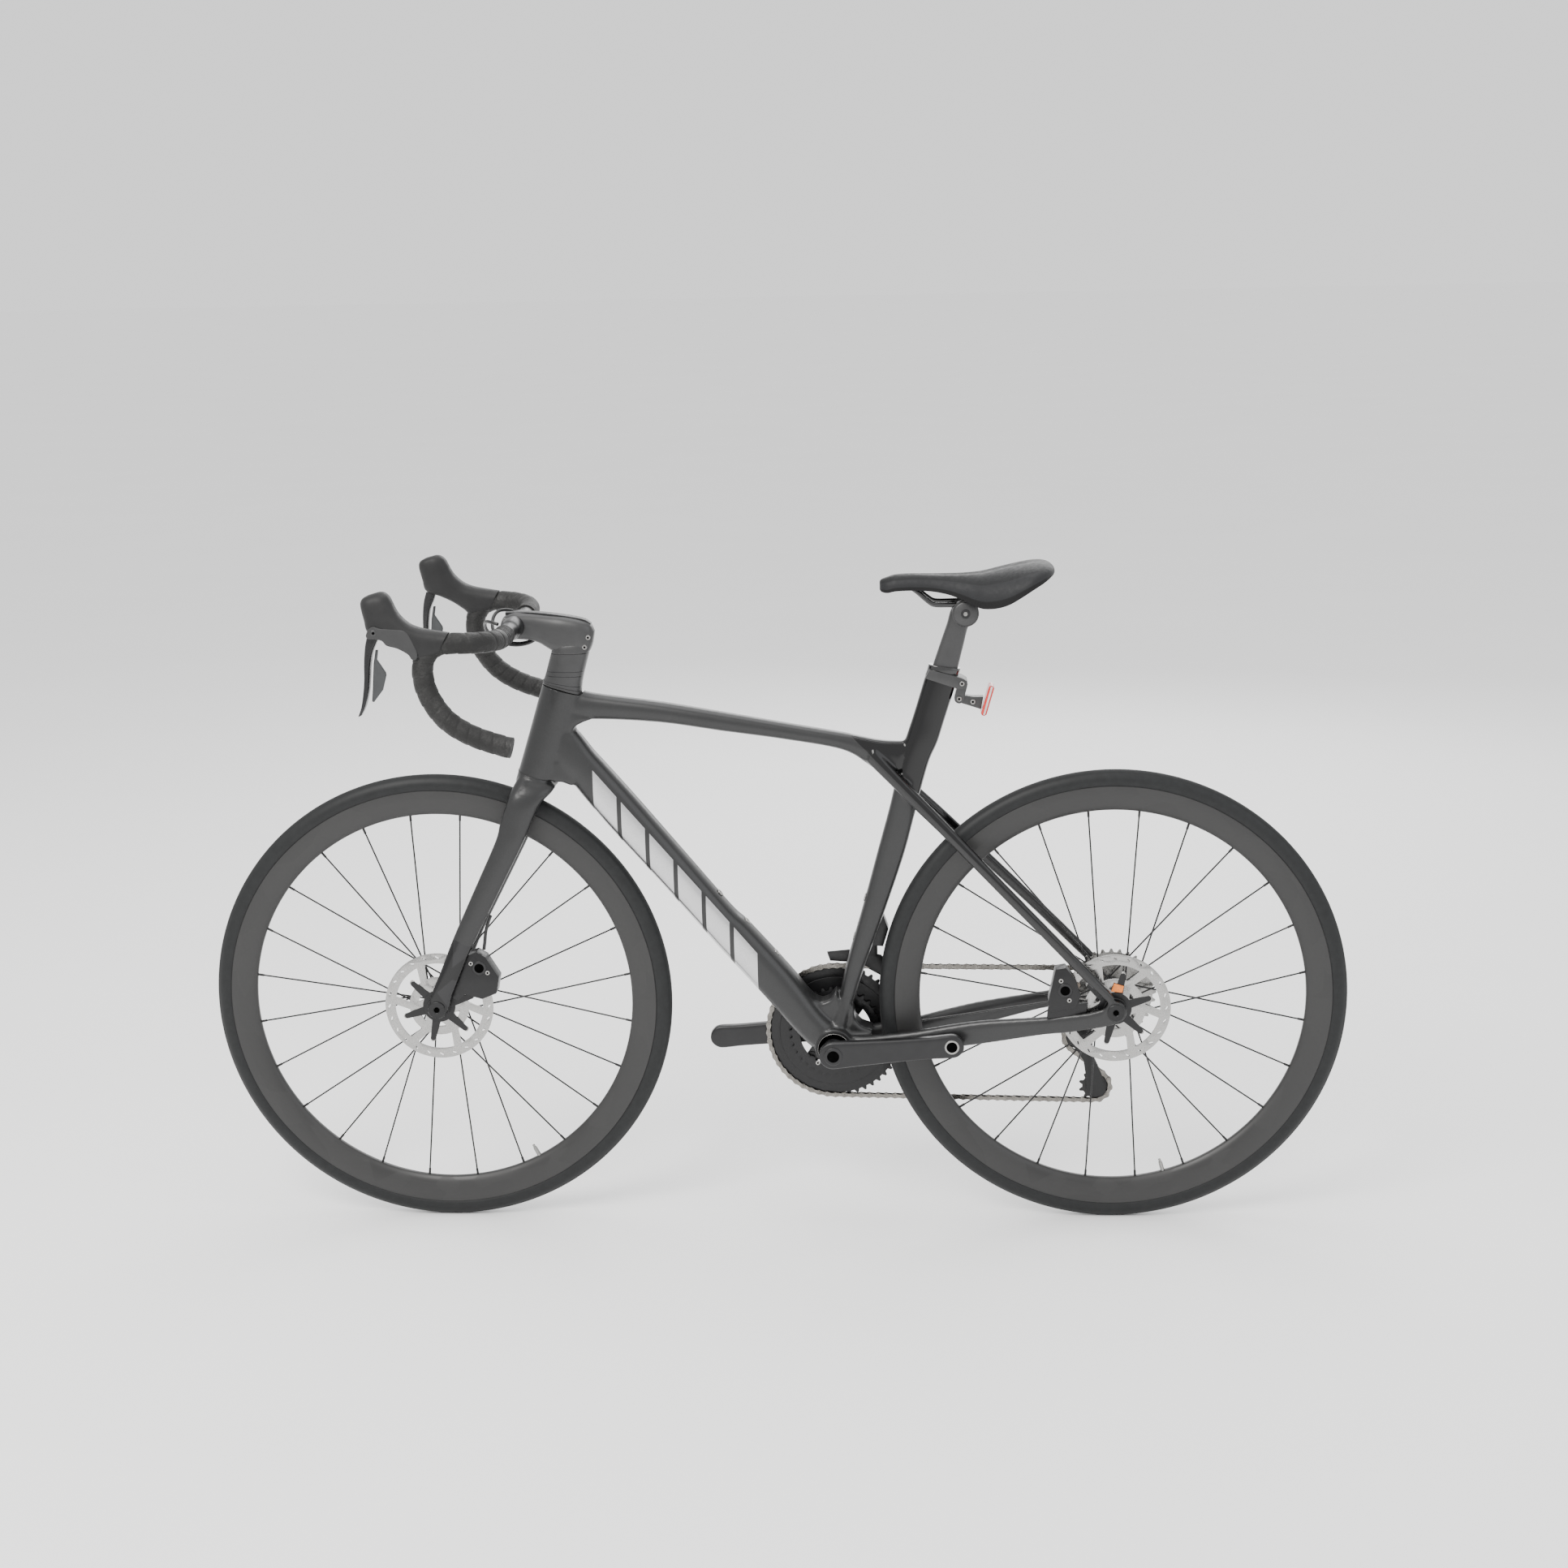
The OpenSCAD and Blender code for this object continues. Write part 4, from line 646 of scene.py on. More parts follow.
def make_fork_paint():
    """Satin charcoal blades with gloss black lower ends, parted by a slanting line."""
    f = Finish("fork_paint", user().paint, 0.36, 0.4, Coat_Weight=0.2, Coat_Roughness=0.16)
    x, _, z = f.axes()[:3]
    flake = f.cells(2600.0, output="Color")
    sparkle = f.level(f.node("ShaderNodeSeparateColor", {"Color": flake}).outputs[0], 0.0, 1.0, 0.82, 1.22)
    paint = f.node("ShaderNodeVectorMath", {0: tuple(user().paint), 3: sparkle}, operation="SCALE")
    edge = f.maths("ADD", f.maths("MULTIPLY", x, 0.46), z)
    gloss = f.level(edge, 0.2330, 0.2334, 1.0, 0.0)
    patches = f.level(f.cells(26.0, f.where(scale=(1, 0.3, 1)), output="Color"), 0.55, 0.56, 0.0, 1.0)
    black = f.mix(patches, user().gloss_black, (0.014, 0.014, 0.015))
    f.set("Base Color", f.mix(gloss, paint.outputs[0], black))
    satin = f.level(f.noise(160.0), 0.3, 0.7, 0.32, 0.41)
    f.set("Roughness", f.node("ShaderNodeMix", {"Factor": gloss, "A": satin, "B": 0.09}).outputs[0])
    f.relief(f.noise(900.0, detail=2), 0.00002)
    return f.material


def make_gloss_black():
    """Lacquered carbon fibre, with a faint twill under the gloss."""
    f = Finish("gloss_black", user().gloss_black, 0.08, 0.0, Coat_Weight=0.6, Coat_Roughness=0.03)
    weave = f.cells(420.0, f.where(scale=(1, 1, 1), turn=(0, 0.8, 0)), output="Color")
    f.mottle(0.35, 12.0, 0.02,
             colour=f.mix(f.level(weave, 0, 1), (0.003, 0.003, 0.0033), (0.008, 0.008, 0.0086)))
    return f.material


def make_satin_grey():
    """Satin mid-grey paint or anodising, for the stem, seatpost and light strap."""
    f = Finish("satin_grey", user().post_grey, 0.4, 0.35, Coat_Weight=0.15, Coat_Roughness=0.3)
    f.mottle(0.07, 60.0, 0.05)
    f.relief(f.noise(1400.0, detail=2), 0.000015)
    return f.material


def make_satin_black():
    """Satin black anodised aluminium with light wear."""
    f = Finish("satin_black", (0.01, 0.01, 0.011), 0.34, 0.3)
    scuffs = f.level(f.noise(70.0, f.where(scale=(1, 1, 5)), 6, 0.7), 0.6, 0.78, 0.0, 0.35)
    f.set("Base Color", f.mix(scuffs, (0.008, 0.008, 0.0086), (0.028, 0.028, 0.03)))
    f.set("Roughness", f.level(f.noise(260.0), 0.3, 0.7, 0.27, 0.42))
    f.relief(f.noise(1600.0, detail=2), 0.000012)
    return f.material


def make_arm_black():
    """Crank arm: dark grey-black anodising with a broad soft sheen."""
    f = Finish("arm_black", (0.013, 0.013, 0.0138), 0.34, 0.3)
    f.mottle(0.14, 45.0, 0.06)
    f.relief(f.noise(1500.0, detail=2), 0.000012)
    return f.material


def make_steel():
    """Bright plated steel with fine drag marks and a little grime in patches."""
    f = Finish("steel", (0.62, 0.61, 0.585), 0.26, 1.0)
    drag = f.noise(500.0, f.where(scale=(1, 8, 1)), 3)
    grime = f.level(f.noise(60.0, detail=6), 0.55, 0.75, 0.0, 0.5)
    bright = f.mix(f.level(drag, 0.3, 0.7), (0.24, 0.236, 0.228), (0.36, 0.355, 0.345))
    f.set("Base Color", f.mix(grime, bright, (0.16, 0.15, 0.135)))
    f.set("Roughness", f.level(drag, 0.3, 0.7, 0.18, 0.36))
    return f.material


def make_chain_steel():
    """Chain plates: nickel-coloured steel, a little warm and worn."""
    f = Finish("chain_steel", (0.2, 0.19, 0.175), 0.3, 1.0)
    f.mottle(0.22, 140.0, 0.1)
    return f.material


def make_rotor_steel():
    """Ground rotor steel: fine rings round the axle."""
    f = Finish("rotor_steel", (0.78, 0.77, 0.76), 0.24, 1.0)
    rings = f.noise(700.0, f.where(scale=(1, 0.1, 1)), 2)
    f.set("Base Color", f.mix(f.level(rings, 0.35, 0.65), (0.3, 0.297, 0.29), (0.44, 0.435, 0.425)))
    f.set("Roughness", f.level(rings, 0.3, 0.7, 0.18, 0.34))
    return f.material


def make_rim_carbon():
    """Matte carbon rim: short slanted fibre patches that show only as a change of sheen."""
    f = Finish("rim_carbon", user().rim, 0.42, 0.0, Specular_IOR_Level=0.5)
    patch = f.cells(34.0, f.where("UV", scale=(1.0, 0.6, 1)), output="Color")
    share = f.level(f.node("ShaderNodeSeparateColor", {"Color": patch}).outputs[0], 0, 1)
    base = f.mix(share, tuple(c * 0.85 for c in user().rim), tuple(c * 1.18 for c in user().rim))
    f.mottle(0.08, 300.0, 0, colour=base)
    f.set("Roughness", f.level(share, 0, 1, 0.36, 0.5))
    return f.material


def make_tyre_rubber():
    """Tyre: matte black with a fine file tread on the crown and smoother walls. UV runs round the section."""
    f = Finish("tyre_rubber", user().tyre, 0.62, 0.0, Specular_IOR_Level=0.28, Sheen_Weight=0.01,
               Sheen_Roughness=0.4)
    u = f.axes("UV")[0]
    crown = f.level(f.maths("ABSOLUTE", f.maths("SUBTRACT", u, 0.5)), 0.14, 0.18, 1.0, 0.0)
    f.mottle(0.16, 120.0, 0)
    f.set("Roughness", f.level(crown, 0, 1, 0.5, 0.68))
    tread = f.cells(700.0, f.where("Object"), output="Distance")
    first = f.relief(f.maths("MULTIPLY", tread, crown), 0.00012)
    f.relief(f.noise(2200.0, detail=2), 0.00003, first)
    return f.material


def make_spoke_black():
    f = Finish("spoke_black", (0.01, 0.01, 0.0106), 0.3, 0.3)
    f.mottle(0.2, 150.0, 0.06)
    return f.material


def make_tape():
    """Bar tape: grain in rows along the wrap, lighter where hands rub. UV is round and along."""
    f = Finish("tape", user().tape, 0.55, 0.0, Specular_IOR_Level=0.3, Sheen_Weight=0.02, Sheen_Roughness=0.5)
    grain = f.cells(420.0, f.where("UV", scale=(1.0, 1.0, 1.0)), feature="SMOOTH_F1")
    weave = f.noise(900.0, f.where("UV"), 3)
    rub = f.level(f.noise(38.0, detail=5), 0.42, 0.68)
    low, high = tuple(c * 0.62 for c in user().tape), tuple(min(1, c * 1.55) for c in user().tape)
    f.set("Base Color", f.mix(f.maths("MULTIPLY", rub, f.level(grain, 0.1, 0.6)), low, high))
    f.set("Roughness", f.level(rub, 0, 1, 0.6, 0.46))
    first = f.relief(grain, 0.0005)
    f.relief(weave, 0.00012, first)
    return f.material


def make_hood_rubber():
    """Hood rubber: soft grey-black with a stipple where the palm sits."""
    f = Finish("hood_rubber", user().hood, 0.5, 0.0, Specular_IOR_Level=0.25, Sheen_Weight=0.02,
               Sheen_Roughness=0.5)
    f.mottle(0.12, 50.0, 0.06)
    stipple = f.cells(640.0, feature="SMOOTH_F1")
    z = f.axes()[2]
    palm = f.level(f.maths("ABSOLUTE", f.maths("SUBTRACT", z, 0.915)), 0.02, 0.03, 1.0, 0.15)
    f.relief(f.maths("MULTIPLY", stipple, palm), 0.0001)
    return f.material


def make_plate_rubber():
    f = Finish("plate_rubber", tuple(c * 1.6 for c in user().hood), 0.38, 0.0)
    f.mottle(0.1, 60.0, 0.05)
    f.relief(f.noise(1200.0, detail=2), 0.00002)
    return f.material


def make_lever_carbon():
    """Lever blade: dark satin moulding."""
    f = Finish("lever_carbon", (0.011, 0.011, 0.012), 0.28, 0.2)
    f.mottle(0.2, 80.0, 0.07)
    return f.material


def make_paddle_grey():
    f = Finish("paddle_grey", (0.045, 0.047, 0.049), 0.36, 0.25)
    f.mottle(0.1, 80.0, 0.06)
    f.relief(f.noise(1300.0, detail=2), 0.00002)
    return f.material


def make_saddle_cover():
    """Saddle cover: matte grained sides, a darker crown and a dark rolled hem. UV runs across it."""
    f = Finish("saddle_cover", user().saddle, 0.52, 0.0, Specular_IOR_Level=0.22, Sheen_Weight=0.02,
               Sheen_Roughness=0.5)
    u = f.axes("UV")[0]
    off = f.maths("ABSOLUTE", f.maths("SUBTRACT", u, 0.5))
    crown = f.level(off, 0.285, 0.3, 1.0, 0.0)
    hem = f.level(off, 0.455, 0.465)
    side = f.mix(f.level(f.noise(40.0, detail=5), 0.3, 0.7), tuple(c * 0.88 for c in user().saddle),
                 tuple(c * 1.12 for c in user().saddle))
    colour = f.mix(crown, side, (0.007, 0.0073, 0.008))
    f.set("Base Color", f.mix(hem, colour, (0.004, 0.004, 0.0043)))
    grain = f.cells(900.0, feature="SMOOTH_F1")
    first = f.relief(grain, 0.00012)
    f.relief(f.noise(260.0, detail=4), 0.00006, first)
    f.set("Roughness", f.level(f.noise(180.0), 0.3, 0.7, 0.45, 0.6))
    return f.material


def make_matte_black():
    f = Finish("matte_black", (0.0065, 0.0065, 0.0068), 0.5, 0.0)
    f.mottle(0.25, 90.0, 0.08)
    f.relief(f.noise(1100.0, detail=3), 0.00003)
    return f.material


def make_hose_black():
    f = Finish("hose_black", (0.005, 0.005, 0.0053), 0.33, 0.0)
    f.mottle(0.2, 120.0, 0.06)
    return f.material


def make_red_lens():
    """Red reflector lens with the small square prisms of a reflector moulded inside."""
    f = Finish("red_lens", (0.62, 0.015, 0.012), 0.12, 0.0, Coat_Weight=0.5, Coat_Roughness=0.05)
    prisms = f.cells(480.0, feature="DISTANCE_TO_EDGE")
    share = f.level(prisms, 0.02, 0.12)
    f.set("Base Color", f.mix(share, (0.22, 0.004, 0.004), (0.72, 0.02, 0.015)))
    f.relief(prisms, 0.0002)
    return f.material


# Pale grey of the strip down the middle of the rear lamp: a painted highlight
def make_clear_smoke():
    f = Finish("clear_smoke", (0.55, 0.56, 0.55), 0.25, 0.0)
    f.mottle(0.15, 60.0, 0.08)
    return f.material


def make_amber():
    """Amber plastic of the hub's stick-on tag."""
    f = Finish("amber", (0.75, 0.2, 0.02), 0.3, 0.0)
    f.mottle(0.2, 120.0, 0.08)
    return f.material


# Flat black with no reflection: painted shade, laid in the sockets of bolt and axle heads and in holes where only
# shade would show
def make_dark_hole():
    f = Finish("dark_hole", (0.002, 0.002, 0.002), 1.0, 0.0, Specular_IOR_Level=0.0)
    f.mottle(0.3, 200.0, 0.1)
    return f.material


def make_pad_metal():
    f = Finish("pad_metal", (0.24, 0.2, 0.17), 0.6, 0.6)
    f.mottle(0.3, 300.0, 0.12)
    f.relief(f.noise(900.0), 0.0001)
    return f.material


def make_floor():
    """Pale seamless paper with the faintest unevenness."""
    f = Finish("floor_paper", (0.975, 0.975, 0.975), 0.8, 0.0)
    f.mottle(0.01, 1.5, 0.03)
    return f.material


# ---- Settings ----

class BicycleSettings(bpy.types.PropertyGroup):
    """Sizes and colours of the finished bicycle"""
    paint: FloatVectorProperty(name="Frame Paint", description="Satin colour of the frame and fork",
                               default=(0.021, 0.0212, 0.0216), subtype="COLOR", min=0, max=1)
    gloss_black: FloatVectorProperty(name="Gloss Black", description="Lacquered seat mast and fork ends",
                                     default=(0.004, 0.004, 0.0043), subtype="COLOR", min=0, max=1)
    silver: FloatVectorProperty(name="Bars", description="Slanted silver bars on the down tube",
                                default=(0.5, 0.5, 0.505), subtype="COLOR", min=0, max=1)
    post_grey: FloatVectorProperty(name="Post Grey", description="Seatpost, stem and light strap",
                                   default=(0.036, 0.036, 0.0366), subtype="COLOR", min=0, max=1)
    rim: FloatVectorProperty(name="Rim", description="Matte carbon of the rims",
                             default=(0.0175, 0.0172, 0.017), subtype="COLOR", min=0, max=1)
    tyre: FloatVectorProperty(name="Tyre", description="Tyre rubber",
                              default=(0.0105, 0.0112, 0.0116), subtype="COLOR", min=0, max=1)
    tape: FloatVectorProperty(name="Tape", description="Handlebar tape",
                              default=(0.0165, 0.0162, 0.0158), subtype="COLOR", min=0, max=1)
    hood: FloatVectorProperty(name="Hoods", description="Rubber of the lever hoods",
                              default=(0.0145, 0.0145, 0.0148), subtype="COLOR", min=0, max=1)
    saddle: FloatVectorProperty(name="Saddle", description="Sides of the saddle cover",
                                default=(0.0135, 0.0138, 0.015), subtype="COLOR", min=0, max=1)
    voxel: FloatProperty(name="Skin Grid", description="Grid on which the frame's tubes are joined",
                         default=0.0022, min=0.0015, max=0.005, precision=4, unit="LENGTH")
    wrap: FloatProperty(name="Tape Width", description="Step of the handlebar tape from turn to turn",
                        default=0.018, min=0.01, max=0.03, precision=4, unit="LENGTH")
    spokes: IntProperty(name="Spokes", description="Spokes in each wheel", default=24, min=16, max=32)


# ---- Frame ----

HEAD_ANGLE = math.radians(73)
STEER_DIR = np.array([math.cos(HEAD_ANGLE), math.sin(HEAD_ANGLE)])
STEER_BACK = np.array([math.sin(HEAD_ANGLE), -math.cos(HEAD_ANGLE)])


def steer(s, r):
    """Side-view point s up the steering axis from beside the front axle, and r behind it."""
    return np.array([45 / math.sin(HEAD_ANGLE), WHEEL_R]) + s * STEER_DIR + r * STEER_BACK


def steered(rows):
    """Stations from [s, distance behind, distance in front, half width] on the steering axis."""
    return [[*steer(s, back), *steer(s, -front), half, 0] for s, back, front, half in rows]


HEAD_LOW = 355.9
HEAD_TOP = 487.4
HEAD_TUBE = [[348, 27, 25, 27], [356, 27, 25, 27], [375, 29, 24.6, 26.5], [430, 31, 24, 24.5],
             [487, 34, 23.8, 24],
             [494, 35, 23.8, 24]]
GUSSETS = (
    ([[188, 778], [238, 762], [226, 758], [214, 752], [207.5, 743], [206, 731], [188, 735]], 17),
    ([[168, 700], [170, 671], [178, 670.5], [192, 670], [206, 664], [214, 680], [196, 704]], 20),
    ([[541, 351], [551, 341], [562, 336], [574, 341], [583, 354], [590, 330], [570, 296], [540, 325]], 19),
    ([[607, 332], [610, 312], [619, 301], [638, 294], [622, 278], [596, 284]], 22))
TOP_TUBE = [
    [196, 806, 183, 760, 17, 0], [224, 802, 216, 756, 17, 0], [250, 796.5, 243, 760, 16.5, 0],
    [340, 784, 335, 754.5, 16, 0], [430, 768, 425, 741, 15.5, 0], [520, 751.5, 515, 728, 15, 0],
    [600, 737, 596, 712.5, 15, 0], [650, 726.5, 634, 690, 15, 0], [690, 724, 668, 662, 13, 0]]
DOWN_TUBE = [
    [196, 756, 168, 700, 19, 0], [214.5, 743.6, 184, 677, 21, 0], [237, 714, 203, 669, 23, 0],
    [256, 692, 218, 650, 24, 0], [300, 640, 256, 602.4, 25, 0], [365, 560.5, 324, 524, 26, 0],
    [431, 480, 390.4, 445.3, 27, 0], [458, 453, 413, 418, 27.5, 0], [521, 380, 478.3, 343, 30, 0],
    [562, 325, 531, 281, 34, 0], [588, 300, 560, 256, 35, 0]]
SEAT_TUBE = [
    [600, 284, 560, 272, 30, 0], [604, 316, 574, 309, 24, 0], [612, 345, 586, 340, 20, 0],
    [626, 390, 599, 396, 17, 0], [657, 476, 624.5, 484, 15, 0], [684, 556, 646, 563, 14, 0],
    [699, 612, 663, 625, 14, 0], [710, 655, 673, 668, 14, 0], [722, 696, 681, 706, 14, 0],
    [733.5, 722, 690, 735, 14, 0], [743, 752, 699, 762, 13.5, 0], [756, 793, 711, 801, 13.5, 0],
    [765, 822, 719.5, 829, 13.5, 0]]
SEAT_STAY = [
    [644, 716, 631, 697, 8, -11], [682, 675.5, 668, 661, 8, -19], [711, 646, 697, 632, 8, -26],
    [750.4, 606.4, 737.6, 593.6, 7, -36.5], [826, 528, 814, 516, 6.5, -52],
    [894, 458, 882.5, 446.5, 6.3, -63.5],
    [950.5, 399, 939.5, 387.5, 6, -70.5], [985, 361, 976, 352, 3.4, -74.5]]
CHAIN_STAY = [
    [590, 291, 590, 252, 10, -20], [620, 289, 620, 250, 10, -26], [660, 293, 660, 257, 8.5, -28.7],
    [700, 299, 700, 265, 8, -32.5], [750, 310, 750, 275, 8, -39], [800, 319, 800, 284, 7.5, -46.5],
    [880, 328, 880, 301, 6.5, -60], [915, 333, 915, 306, 5.7, -65.5], [950, 339, 950, 313, 4.4, -71.5],
    [984, 350, 984, 320, 3.3, -74.7]]
HANGER = (995, 312)


def bar_outline(a, b, ra, rb, n=16):
    """Outline of a bar from a to b with round ends of radii ra and rb."""
    a, b = np.array(a, float), np.array(b, float)
    turn = math.atan2(*(b - a)[::-1])
    t = np.linspace(0, math.pi, n)[:, None] + turn
    first = a + ra * np.hstack([np.cos(t + math.pi / 2), np.sin(t + math.pi / 2)])
    second = b + rb * np.hstack([np.cos(t - math.pi / 2), np.sin(t - math.pi / 2)])
    return np.vstack([first, second])


def disc(centre, y0, y1, r, edge=0.6, n=64, m=0, hole=0.0):
    """Round plate between two places across, with eased edges and, if asked, a hole."""
    if hole:
        profile = [[y0, hole], [y0, r], [y1, r], [y1, hole]]
        return shell(lathe(eased(profile, edge, True), centre, n), path=True, m=m)
    profile = [[y0, 0.05], [y0, r], [y1, r], [y1, 0.05]]
    return shell(lathe(eased(profile, edge), centre, n), m=m)


def squared_off(mesh, low, high, reach=36.5):
    """Vertices within reach of the steering axis moved along it to lie between two heights, as a flat cut."""
    v = np.empty(len(mesh.vertices) * 3)
    mesh.vertices.foreach_get("co", v)
    v = v.reshape(-1, 3)
    side = v[:, [0, 2]] * 1000 + (WHEELBASE / 2, 0) - steer(0, 0)
    s, back = side @ STEER_DIR, side @ STEER_BACK
    near = np.hypot(back, v[:, 1] * 1000) < reach
    move = np.where(near & (s > low - 20), np.clip(s, low, high) - s, 0) / 1000
    v[:, [0, 2]] += move[:, None] * STEER_DIR
    mesh.vertices.foreach_set("co", v.ravel())
    mesh.update()


class BICYCLE_OT_frame(bpy.types.Operator):
    """Join the frame's tubes into one painted skin, with the crank bearing's cups and the mast's collar"""
    bl_idname = "bicycle.frame"
    bl_label = "Frame"

    def execute(self, context):
        tubes = [shell(loft(steered(HEAD_TUBE), 0.85, 64, 10)), shell(loft(TOP_TUBE, 0.8, 48, 8)),
                 shell(loft(DOWN_TUBE, 0.75, 56, 8)), shell(loft(SEAT_TUBE, 0.8, 48, 8)),
                 disc(CRANK_AXLE, -36, 36, 28.5, 1.5)]
        tubes += both(shell(loft(SEAT_STAY, 0.85, 32, 8))) + both(shell(loft(CHAIN_STAY, 0.75, 32, 8)))
        tubes += both(disc(REAR_AXLE, -78, -71, 16, 1.0))
        tubes.append(plate(bar_outline(REAR_AXLE, HANGER, 12, 10), 71, 76, 0.8))
        tubes += [plate(outline, -half, half, 3) for outline, half in GUSSETS]
        skin = fused("frame_skin", tubes, user().voxel, 7)
        squared_off(skin, HEAD_LOW, HEAD_TOP)
        piece("frame_skin", skin, "frame", [finish("frame_paint")], "frame_paint", angle=60,
              replaces=("head_tube", "top_tube", "down_tube", "seat_tube", "bb_shell", "seatstays",
                        "chainstays"))
        cup = disc(CRANK_AXLE, -40, -36.2, 23.6, 0.5, hole=12.3)
        piece("crank_cups", [*both(cup), *both(disc(CRANK_AXLE, -38, -35.6, 27.2, 0.5, hole=23.4, m=1))],
              "frame",
              [finish("steel"), finish("matte_black")], "steel")
        collar = loft([[764, 819.5, 719, 826.5, 14.3, 0], [766.4, 827, 721, 834.2, 14.3, 0],
                       [766.6, 829, 721.4, 836, 13.6, 0]], 0.8, 56, 4)
        piece("mast_collar", [shell(collar)], "frame", [finish("gloss_black")], "gloss_black", angle=30)
        return {"FINISHED"}


BLADE = [
    [183, 665, 133, 684, 13, -13], [176, 656, 124, 671, 13.5, -24], [160.2, 640.1, 115, 652, 13, -33],
    [144, 605, 102, 615, 11.5, -37.5], [128.3, 572.6, 94.3, 588.2, 10, -41.5],
    [90.8, 500.9, 60, 515, 8.7, -47],
    [56, 434.3, 28.2, 447.1, 7.6, -51.3], [38, 394, 9, 401, 6.4, -54.5], [24, 362, -8, 362, 5, -56],
    [16, 338, -13, 342, 4.6, -55.2], [8, 327, -5, 327, 4.2, -55]]
CROWN_TOP = 354.8
CROWN = [[362, 26, 25, 26.5], [355, 27, 25, 27], [349, 26, 25, 28], [340, 24, 25, 29.5], [332, 20, 22, 25]]


class BICYCLE_OT_fork(bpy.types.Operator):
    """Join the fork's crown and blades into one painted skin, with its dropouts"""
    bl_idname = "bicycle.fork"
    bl_label = "Fork"

    def execute(self, context):
        parts = [shell(loft(steered(CROWN), 0.8, 64, 8)), *both(shell(loft(BLADE, 0.85, 48, 8))),
                 *both(disc(FRONT_AXLE, -59.5, -50, 15, 1.2))]
        skin = fused("fork_skin", parts, user().voxel, 6)
        squared_off(skin, 0, CROWN_TOP)
        piece("fork_skin", skin, "steering", [finish("fork_paint")], "frame_paint", ("fork",), 60)
        ring = loft(steered([[354.9, 26.5, 25.4, 27], [356.1, 26.5, 25.4, 27]]), 0.85, 64, 1)
        piece("crown_seal", [shell(ring)], "steering", [finish("matte_black")], "spacers")
        return {"FINISHED"}


# ---- Cockpit ----

SPACERS = [
    [223.3, 796.9, 167.4, 814, 21, 0], [223.5, 806, 168, 818, 21, 0], [226.5, 823, 171.3, 825, 21, 0],
    [236, 857.5, 181, 857.5, 20, 0]]
STEM = [
    [112.5, 904, 112.5, 892, 18, 0], [117, 912, 117, 884, 20.5, 0], [131, 917, 131, 879, 21, 0],
    [150, 916.5, 150, 877, 19, 0], [166, 915, 166, 872, 18, 0], [184, 913, 185, 860.5, 18.5, 0],
    [206, 910.5, 202, 857.9, 19.5, 0], [226, 906, 222, 857.9, 18.5, 0], [238.5, 900, 235, 857.9, 15, 0],
    [244.5, 889, 241, 868, 9, 0]]


def bolt(centre, y, r, depth, side=-1, m=0, hole_m=1):
    """Round bolt head facing sideways from y, with its hexagonal recess drawn as a dark six-sided plug of painted
    shade.
    """
    head = disc(centre, min(y, y + side * depth), max(y, y + side * depth), r, 0.35, 24, m)
    turn = np.arange(6) * math.pi / 3
    hexagon = np.array(centre) + 0.5 * r * np.stack([np.cos(turn), np.sin(turn)], 1)
    low, high = sorted((y + side * depth * 0.9, y + side * (depth + 0.06)))
    return [head, plate(hexagon, low, high, 0.02, hole_m)]


class BICYCLE_OT_stem(bpy.types.Operator):
    """Shape the stem with its top cover and clamp bolts, and the stack of spacers below it"""
    bl_idname = "bicycle.stem"
    bl_label = "Stem and Spacers"

    def execute(self, context):
        grey = finish("satin_grey")
        body = loft(STEM, 0.62, 64, 10)
        bolts = []
        for centre in ((237, 881), (231.5, 867)):
            for side in (-1, 1):
                bolts += bolt(centre, side * 15.2, 3.6, 1.6, side)
        for centre in ((119, 908), (119, 888)):
            for side in (-1, 1):
                bolts += bolt(centre, side * 18.6, 2.6, 1.2, side)
        piece("stem_body", [shell(body)], "steering", [grey], "post_grey", ("stem",), 50)
        piece("stem_bolts", bolts, "steering", [finish("steel"), finish("dark_hole")], "steel")
        cover = curve_rows([[118, 917.4, 7], [150, 918.0, 9], [190, 914.4, 9.5], [228, 907.6, 8.5],
                            [240, 900.6, 6]], 8)
        across = np.linspace(-1, 1, 13)
        top = np.stack([np.broadcast_to(cover[:, :1], (len(cover), 13)), cover[:, 2:] * across,
                        cover[:, 1:2] - 0.9 * across**2], -1)
        low = top[:, ::-1] - (0, 0, 3)
        piece("stem_cover", [shell(np.concatenate([top, low], 1))], "steering", [finish("satin_black")],
              "post_grey")
        rings, heights = [], [-1.0, 0.0, 14.0, 24.0, 42.0, 46.0, 60.5]
        stack = curve_rows(SPACERS, 24)
        share = np.interp(heights[1:-1], [0, 61], [0, len(stack) - 1])
        cuts = [0, *[int(s) for s in share[1:]], len(stack) - 1]
        for a, b in zip(cuts[:-1], cuts[1:]):
            rows = stack[a:b + 1].copy()
            edge = 0.45
            first, last = rows[:1].copy(), rows[-1:].copy()
            for row in (first, last):
                row[:, 0] -= edge
                row[:, 2] += edge
                row[:, 4] -= edge
            rows[0, [1, 3]] += 0.4
            rows[-1, [1, 3]] -= 0.4
            grid = loft(np.vstack([first, rows, last]), 0.8, 64, 1)
            rings.append(shell(grid))
        collar = [[235.7, 857.9, 181.3, 857.9, 19.8, 0], [236.4, 860, 181.6, 860, 20, 0],
                  [237, 868, 184, 868, 19, 0],
                  [236, 872, 186, 872, 17, 0]]
        rings.append(shell(loft(collar, 0.8, 64, 3)))
        piece("spacer_stack", rings, "steering", [grey], "spacers", ("headset_spacers",), 30)
        return {"FINISHED"}


